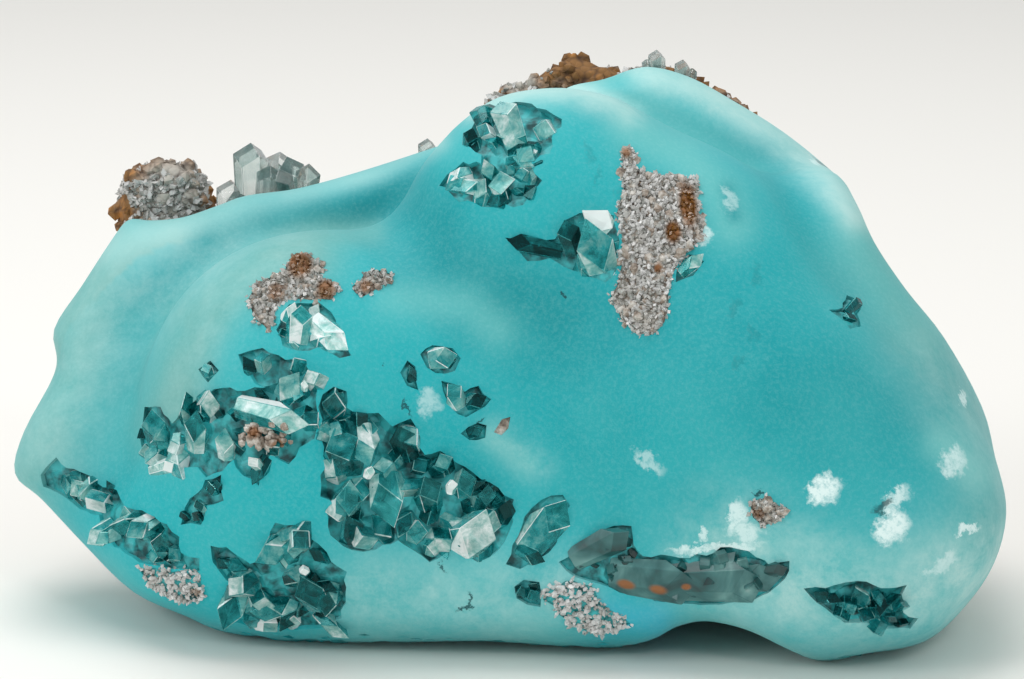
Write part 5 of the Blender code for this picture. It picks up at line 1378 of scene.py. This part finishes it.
# The slab's crystals, like the large ones of the clusters
SLAB = (
    ((5.2, -22.6, -0.5), (11.9, -18.9, 0.8), (3.0, 1.6), 0.4),
    ((8.4, -23.6, -0.7), (19.0, -24.6, 0.1), (4.4, 1.6), 0.42),
    ((13.8, -24.6, -0.7), (25.4, -24.0, 0.1), (4.6, 1.6), 0.45),
    ((20.4, -24.4, -0.7), (27.4, -23.3, 0.1), (3.4, 1.5), 0.4),
    ((20.0, -22.6, -0.5), (21.6, -21.0, 0.8), (1.6, 1.3), 0.3),
    ((22.8, -22.8, -0.5), (23.6, -21.6, 0.8), (1.5, 1.2), 0.75),
    ((25.0, -23.2, -0.3), (27.7, -22.6, 0.6), (1.5, 1.1), 0.25),
)
SLAB_SEED = 25

# Smoky calcite: cloudy grey-teal that lets little light through, rust-brown and dense at the specks; each
# face is painted a little lighter or darker at random, as painted reflection
smoky, tree, output = new_material("smoky_calcite")
place = node(tree, "ShaderNodeTexCoord").outputs["Object"]
cloud = node(tree, "ShaderNodeTexNoise", {"Scale": 210.0, "Detail": 4.0, "Distortion": 0.8},
             {"Vector": place})
tone = node(tree, "ShaderNodeAttribute", {"attribute_name": "tone"}).outputs["Fac"]
facet = node(tree, "ShaderNodeAttribute", {"attribute_name": "facet"}).outputs["Fac"]
# Painted reflection: each face a little lighter or darker at random
tone = node(tree, "ShaderNodeMath", {"operation": "MULTIPLY_ADD", 1: 0.15},
            {0: facet, 2: tone}).outputs[0]
drift = node(tree, "ShaderNodeMath", {"operation": "MULTIPLY_ADD", 1: 2.0, 2: -1.0},
             {0: cloud.outputs["Fac"]}).outputs[0]
tone = node(tree, "ShaderNodeMath", {"operation": "ADD", "use_clamp": True}, {0: tone, 1: drift}).outputs[0]
colour = colour_ramp(tree, tone, (
    (0.0, "092a29"), (0.3, "195f5f"), (0.55, "417f7e"), (0.8, "74aaa6"), (1.0, "c4d6d2")))
rust = marks(tree, place, RUST_IN_SLAB)
colour = node(tree, "ShaderNodeMix", {"data_type": "RGBA", 7: hexed("84501f")},
              {0: rust, 6: colour}).outputs[2]
clear = node(tree, "ShaderNodeMath", {"operation": "MULTIPLY_ADD", 1: -0.35, 2: 0.35}, {0: rust}).outputs[0]
slabby = node(tree, "ShaderNodeBsdfPrincipled", {"Roughness": 0.38, "IOR": 1.58},
              {"Base Color": colour, "Transmission Weight": clear})
tree.links.new(slabby.outputs[0], output.inputs["Surface"])
parts = large_crystals("slab", patches["calcite_base_slab"], SLAB, np.random.default_rng(SLAB_SEED))
parts.append(grown(copy_of(beds["calcite_base_slab"], "scatter"), scattered, {
    "Per Square Metre": 0.35e6, "Width": 1.2 * MM, "Lean": 0.8, "Lightness": 0.2, "Seed": SLAB_SEED,
    "Shapes": shapes, "Material": smoky}))
finished_piece(merged("calcite_base_slab_crystals", parts), smoky, ("calcite_base_slab",))

# Druse
# Crusts of tiny grey-white calcite crystals over brown limonite crumbs, where the rosasite has gaps.
# Each grain is under a millimetre.

# Where limonite shows through the druse: (across, up), (half width, half height), turn, strength
RUSTY = (
    ((17.6, 13.2), (0.9, 2.9), 4.0, 1.0), ((16.1, 10.8), (0.8, 1.1), 0.0, 1.0),
    ((11.4, 18.7), (0.5, 0.5), 0.0, 0.8), ((14.6, 7.2), (0.4, 0.5), 0.0, 0.9),
    ((-21.2, 7.6), (1.2, 1.4), 20.0, 0.9), ((-18.6, 5.0), (0.9, 1.0), 0.0, 0.9),
    ((-23.6, 4.8), (0.7, 0.8), 0.0, 0.7), ((24.6, -17.4), (0.7, 0.5), 0.0, 0.7),
    ((-14.6, 5.4), (0.6, 0.5), 0.0, 0.8), ((-31.6, -25.2), (0.6, 0.5), 0.0, 0.6),
    ((-25.8, -9.0), (0.8, 0.6), 0.0, 0.9), ((-23.4, -10.2), (0.8, 0.5), 0.0, 0.8),
)

# Druse: grey-white grains, stained where limonite is near; their sparkle is painted, each face lighter or
# darker at random as painted glints and dark reflections
druse, tree, output = new_material("druse_calcite")
place = node(tree, "ShaderNodeTexCoord").outputs["Object"]
stain = node(tree, "ShaderNodeTexNoise", {"Scale": 330.0, "Detail": 4.0}, {"Vector": place})
stain = node(tree, "ShaderNodeMapRange", {"From Min": 0.48, "From Max": 0.75, "To Max": 0.6},
             {"Value": stain.outputs["Fac"]})
tone = node(tree, "ShaderNodeAttribute", {"attribute_name": "tone"}).outputs["Fac"]
facet = node(tree, "ShaderNodeAttribute", {"attribute_name": "facet"}).outputs["Fac"]
# Painted glints: each face lighter or darker at random
tone = node(tree, "ShaderNodeMath", {"operation": "MULTIPLY_ADD", 1: 0.3, "use_clamp": True},
            {0: facet, 2: tone}).outputs[0]
colour = colour_ramp(tree, tone, ((0.0, "5f6b66"), (0.35, "a9aca6"), (0.7, "dcdcd8"), (1.0, "fbfbfa")))
colour = node(tree, "ShaderNodeMix", {"data_type": "RGBA", 7: hexed("a9a295")},
              {0: stain.outputs[0], 6: colour}).outputs[2]
colour = node(tree, "ShaderNodeMix", {"data_type": "RGBA", 7: hexed("96662f")},
              {0: marks(tree, place, RUSTY), 6: colour}).outputs[2]
frosty = node(tree, "ShaderNodeBsdfPrincipled", {"Roughness": 0.2, "IOR": 1.58, "Transmission Weight": 0.4},
              {"Base Color": colour})
tree.links.new(frosty.outputs[0], output.inputs["Surface"])

# Druse ground: grey and tan calcite crumbs grown over limonite, which shows as rusty spots
drusy_ground, tree, output = new_material("drusy_ground")
place = node(tree, "ShaderNodeTexCoord").outputs["Object"]
crumbs = node(tree, "ShaderNodeTexNoise", {"Scale": 800.0, "Detail": 5.0, "Roughness": 0.7},
              {"Vector": place})
colour = colour_ramp(tree, crumbs.outputs["Fac"], (
    (0.3, "4d4139"), (0.45, "8f8275"), (0.6, "c4c0b8"), (0.8, "e6e4df")))
colour = node(tree, "ShaderNodeMix", {"data_type": "RGBA", 7: hexed("84552a")},
              {0: marks(tree, place, RUSTY), 6: colour}).outputs[2]
relief = node(tree, "ShaderNodeBump", {"Strength": 0.7, "Distance": 0.0002},
              {"Height": crumbs.outputs["Fac"]})
ground = node(tree, "ShaderNodeBsdfPrincipled", {"Roughness": 0.6, "IOR": 1.5},
              {"Base Color": colour, "Normal": relief.outputs[0]})
tree.links.new(ground.outputs[0], output.inputs["Surface"])

# Grains in each druse: seed, how many to the square millimetre, their width, and how light they are
DRUSES = {
    "druse_centre": (12, 14.0, 0.36, 0.6),
    "druse_left": (15, 10.0, 0.38, 0.5),
    "druse_chip": (17, 9.0, 0.36, 0.45),
    "druse_lower_left": (22, 9.0, 0.4, 0.8),
    "druse_base": (26, 7.0, 0.42, 0.9),
    "druse_pit": (36, 10.0, 0.36, 0.45),
}
for name, (seed, dense, width, lightness) in DRUSES.items():
    grains = grown(copy_of(beds[name], "scatter"), scattered, {
        "Per Square Metre": dense * 1e6, "Width": width * MM, "Lean": 1.1, "Lightness": lightness,
        "Seed": seed, "Shapes": grain_shapes, "Material": druse})
    grains.name = name + "_grains"
    finished_piece(grains, druse, (name,))

# Where the limonite behind is covered with druse: (across, up, away), how far it reaches
DRUSY_LIMONITE = (
    ((-35.0, 14.2, 13.0), 5.4), ((0.0, 25.0, 13.0), 4.0), ((12.5, 27.0, 13.5), 3.6),
    ((-30.0, -10.0, 24.0), 9.0), ((14.0, 12.0, 25.0), 11.0), ((30.0, -14.0, 24.0), 8.0),
    ((-4.0, -4.0, 27.0), 8.0),
)

# A spot that takes in all of the limonite, and how large the bays in the edge of a spot are
EVERYWHERE = (((0.0, 0.0, 20.0), 99.0),)
RAGGED_SIZE = 5.0


def marked_faces(obj, spots):
    """Marks the faces near the spots, which are given along the line of sight, as grown_on."""
    sight = in_sight(points_of(obj.data))
    ragged = np.array([noise.fractal(Vector(point / RAGGED_SIZE), 0.7, 2.0, 4) for point in sight])
    near = np.zeros(len(sight), bool)
    for (across, up, away), reach in spots:
        spread = (SIGHT_DISTANCE + away) / SIGHT_DISTANCE
        off = np.linalg.norm(sight - (across * spread, up * spread, away), axis=1)
        near |= off < reach * (1 + ragged)
    faces = [bool(near[list(face.vertices)].all()) for face in obj.data.polygons]
    attribute = obj.data.attributes.new("grown_on", "BOOLEAN", "FACE")
    attribute.data.foreach_set("value", faces)
    return obj


grains = grown(marked_faces(copy_of(matrix, "scatter"), DRUSY_LIMONITE), scattered, {
    "Per Square Metre": 6.5e6, "Width": 0.56 * MM, "Lean": 1.0, "Lightness": 0.6, "Seed": 61,
    "Shapes": grain_shapes, "Material": druse})
grains.name = "limonite_druse"
finished_piece(grains, druse, ())

# Limonite crumbs, grown fast to the rock: shapes to scatter, about 1 mm wide, each corner drawn in or
# out by a share of its own
CRUMB_SHAPES, CRUMB_RADIUS, CRUMB_UNEVEN = 5, 0.5, (0.7, 1.25)
crumb_shapes = bpy.data.collections.new("crumb_shapes")
bpy.context.scene.collection.children.link(crumb_shapes)
random = np.random.default_rng(62)
for number in range(CRUMB_SHAPES):
    shape = bmesh.new()
    bmesh.ops.create_icosphere(shape, subdivisions=1, radius=CRUMB_RADIUS * MM)
    for corner in shape.verts:
        corner.co *= random.uniform(*CRUMB_UNEVEN)
    mesh = bpy.data.meshes.new(f"crumb_{number}")
    shape.to_mesh(mesh)
    shape.free()
    crumb_shapes.objects.link(bpy.data.objects.new(mesh.name, mesh))
crumbly = grown(marked_faces(copy_of(matrix, "scatter"), EVERYWHERE), scattered, {
    "Per Square Metre": 0.30e6, "Width": 1.3 * MM, "Lean": 3.0, "Seed": 63, "Shapes": crumb_shapes,
    "Material": limonite})
crumbly.name = "limonite_crumbs"
finished_piece(crumbly, limonite, ())

# The yellow-brown flake is its pocket's bed, with nothing on it
flake = beds.pop("limonite_flake")
finished_piece(flake, drusy_ground, ("limonite_flake",))

# Brown druse under the long crystal of the left field: where (across, up) and how far it spreads, how
# many grains, how high over the crust they lie, and how large they are beside the shapes
FIELD_DRUSE, FIELD_SPREAD, FIELD_GRAINS = (-24.6, -9.8), (1.3, 0.55), 60
FIELD_HEIGHT, FIELD_SIZE = (0.2, 1.5), (0.5, 1.0)
parts = []
random = np.random.default_rng(70)
for number in range(FIELD_GRAINS):
    at = np.array(FIELD_DRUSE) + random.normal(0.0, FIELD_SPREAD)
    out = patches["calcite_left_field"].normal * random.uniform(*FIELD_HEIGHT)
    crumb = crumb_shapes.objects[number % CRUMB_SHAPES].data
    parts.append(make_object("grain", seen((at,)) + out + points_of(crumb) * random.uniform(*FIELD_SIZE),
                             [list(face.vertices) for face in crumb.polygons]))
finished_piece(merged("field_druse", parts), drusy_ground, ())

# Beds of druse with brown crumbs between the grains: seed, and crumbs to the square millimetre
BROWN_BEDS = {
    "druse_centre": (64, 0.6), "druse_left": (65, 0.9), "druse_chip": (66, 0.8), "druse_pit": (68, 0.8),
}
brown = [beds.pop(name) for name in BROWN_BEDS]
for bed, (seed, dense) in zip(list(brown), BROWN_BEDS.values()):
    brown.append(grown(copy_of(bed, "scatter"), scattered, {
        "Per Square Metre": dense * 1e6, "Width": 0.8 * MM, "Lean": 3.0, "Seed": seed,
        "Shapes": crumb_shapes, "Material": drusy_ground}))
finished_piece(merged("druse_ground", brown), drusy_ground, ())
finished_piece(merged("pocket_floors", list(beds.values())), lining, ())
for shape in list(crumb_shapes.objects):
    bpy.data.objects.remove(shape)
bpy.data.collections.remove(crumb_shapes)

# Upright crystals
# Clear calcite standing on the limonite behind the crust's top edge: one blocky group at the left
# and a few single tips.

# Foot and tip: (x, y) from the middle and height over the limonite; (width, thickness)
UPRIGHTS = {
    "calcite_top_left": (
        ((-26.6, 17.0, -1.0), (-26.9, 16.4, 9.2), (3.8, 3.4)),
        ((-24.8, 17.2, -1.0), (-23.9, 16.8, 7.0), (3.2, 2.8)),
        ((-22.6, 17.0, -1.0), (-23.2, 16.6, 6.2), (3.4, 3.0)),
        ((-21.8, 16.8, -1.0), (-20.9, 16.6, 4.6), (3.0, 2.4)),
        ((-29.2, 17.0, -1.0), (-29.0, 16.6, 6.2), (3.0, 2.6)),
        ((-25.6, 15.8, -1.0), (-24.8, 15.2, 5.6), (3.0, 2.4)),
        ((-22.8, 15.8, -1.0), (-24.0, 15.2, 4.6), (2.6, 2.2)),
        ((-27.4, 15.8, -1.0), (-28.6, 15.2, 4.8), (2.6, 2.2))),
    "calcite_tip_left": (
        ((14.9, 16.0, -1.0), (14.8, 15.8, 3.6), (1.8, 1.5)),
        ((14.2, 16.3, -1.0), (13.8, 16.2, 2.6), (1.3, 1.2))),
    "calcite_tip_right": (
        ((17.3, 16.0, -1.0), (17.5, 15.8, 3.4), (1.7, 1.4)),
        ((18.0, 16.3, -1.0), (18.5, 16.2, 2.6), (1.3, 1.2))),
    "calcite_tip_saddle": (
        ((-8.5, 15.8, -1.0), (-8.7, 15.6, 5.8), (2.0, 1.7)),
        ((-7.9, 16.2, -1.0), (-7.6, 16.2, 5.0), (1.5, 1.3))),
}

# How steep their tips are, how narrow their feet are, and how far each is turned from the one before
UPRIGHT_STEEP, UPRIGHT_TAPER, UPRIGHT_TURN = 0.6, 0.95, 0.5

# Calcite in the open: clear to frosted grey, with nothing dark behind it; each face is painted lighter or
# darker at random as painted glints, and the blunted edges lighter as a painted highlight
frosted, tree, output = new_material("frosted_calcite")
place = node(tree, "ShaderNodeTexCoord").outputs["Object"]
veil = node(tree, "ShaderNodeTexNoise", {"Scale": 500.0, "Detail": 4.0, "Roughness": 0.6},
            {"Vector": place})
haze = node(tree, "ShaderNodeMapRange",
            {"From Min": 0.4, "From Max": 0.65, "To Min": 0.04, "To Max": 0.3},
            {"Value": veil.outputs["Fac"]})
facet = node(tree, "ShaderNodeAttribute", {"attribute_name": "facet"}).outputs["Fac"]
edge = node(tree, "ShaderNodeAttribute", {"attribute_name": "edge"}).outputs["Fac"]
# Painted glints: each face lighter or darker at random
tone = node(tree, "ShaderNodeMath", {"operation": "MULTIPLY_ADD", 1: 0.4},
            {0: facet, 2: veil.outputs["Fac"]}).outputs[0]
# Painted highlight: the blunted edges lighter
tone = node(tree, "ShaderNodeMath", {"operation": "MULTIPLY_ADD", 1: 0.15, "use_clamp": True},
            {0: edge, 2: tone}).outputs[0]
pale = colour_ramp(tree, tone, ((0.1, "739694"), (0.35, "a9bdba"), (0.6, "d9dfdc"), (0.9, "fbfcfc")))
glass = node(tree, "ShaderNodeBsdfPrincipled", {"IOR": 1.6, "Transmission Weight": 0.8},
             {"Base Color": pale, "Roughness": haze.outputs[0]})
tree.links.new(glass.outputs[0], output.inputs["Surface"])
for name, crystals in UPRIGHTS.items():
    parts = []
    for number, (foot, tip, (width, thickness)) in enumerate(crystals):
        foot, tip = on_matrix((foot, tip))
        wide, thin = square_axes(tip - foot, np.array((0.0, 1.0, 0.0)))
        crystal = make_object(f"{name}_{number}", *crystal_mesh(
            foot, tip, wide, thin, width, thickness, UPRIGHT_STEEP, UPRIGHT_TAPER, UPRIGHT_TURN * number))
        parts.append(chamfered(crystal, CHAMFER))
    finished_piece(merged(name + "_crystals", parts), frosted, (name,))

for collection in (shapes, grain_shapes):
    for shape in list(collection.objects):
        bpy.data.objects.remove(shape)
    bpy.data.collections.remove(collection)

# Floor, light and camera
# A pale table under large soft lights, seen from a little above, as the show face is laid out.

# Floor: matt white card
card, tree, output = new_material("card")
matt = node(tree, "ShaderNodeBsdfPrincipled", {"Base Color": hexed("eceae5"), "Roughness": 0.9})
tree.links.new(matt.outputs[0], output.inputs["Surface"])
HALF = 3000
corners = [(-HALF, -HALF, 0), (HALF, -HALF, 0), (HALF, HALF, 0), (-HALF, HALF, 0)]
floor = make_object("floor", corners, [[0, 1, 2, 3]])
floor.data.materials.append(card)

world = bpy.data.worlds.new("studio")
world.use_nodes = True
world.node_tree.nodes["Background"].inputs["Color"].default_value = hexed("f4f6f7")
world.node_tree.nodes["Background"].inputs["Strength"].default_value = 0.6
bpy.context.scene.world = world
bpy.context.scene.view_settings.view_transform = "Standard"


def soft_light(name, place, target, size, power):
    """A square area light that faces a point, in metres and watts."""
    light = bpy.data.lights.new(name, "AREA")
    light.shape, light.size, light.energy = "SQUARE", size, power
    obj = bpy.data.objects.new(name, light)
    obj.location = place
    obj.rotation_mode = "QUATERNION"
    obj.rotation_quaternion = (Vector(target) - Vector(place)).to_track_quat("-Z", "Y")
    bpy.context.scene.collection.objects.link(obj)


LIT = (0.0, 0.0, 0.02)
soft_light("overhead", (-0.12, 0.12, 0.64), LIT, 0.5, 2.6)
soft_light("side", (-0.48, -0.38, 0.34), LIT, 0.3, 1.35)
soft_light("fill", (0.5, -0.3, 0.3), LIT, 0.4, 0.4)
soft_light("sparkle", (0.16, -0.5, 0.36), LIT, 0.07, 0.35)

# The camera's sensor, and what the photo spans at the specimen's middle, both in millimetres
SENSOR, PHOTO_WIDTH = 36.0, 102.4
camera = bpy.data.objects.new("camera", bpy.data.cameras.new("camera"))
camera.data.sensor_width = SENSOR
camera.data.lens = SIGHT_DISTANCE * SENSOR / PHOTO_WIDTH
camera.data.clip_start, camera.data.clip_end = 0.01, 20.0
camera.location = (MIDDLE - AWAY * SIGHT_DISTANCE) * MM
camera.rotation_mode = "QUATERNION"
camera.rotation_quaternion = Vector(AWAY).to_track_quat("-Z", "Y")
bpy.context.scene.collection.objects.link(camera)
bpy.context.scene.camera = camera
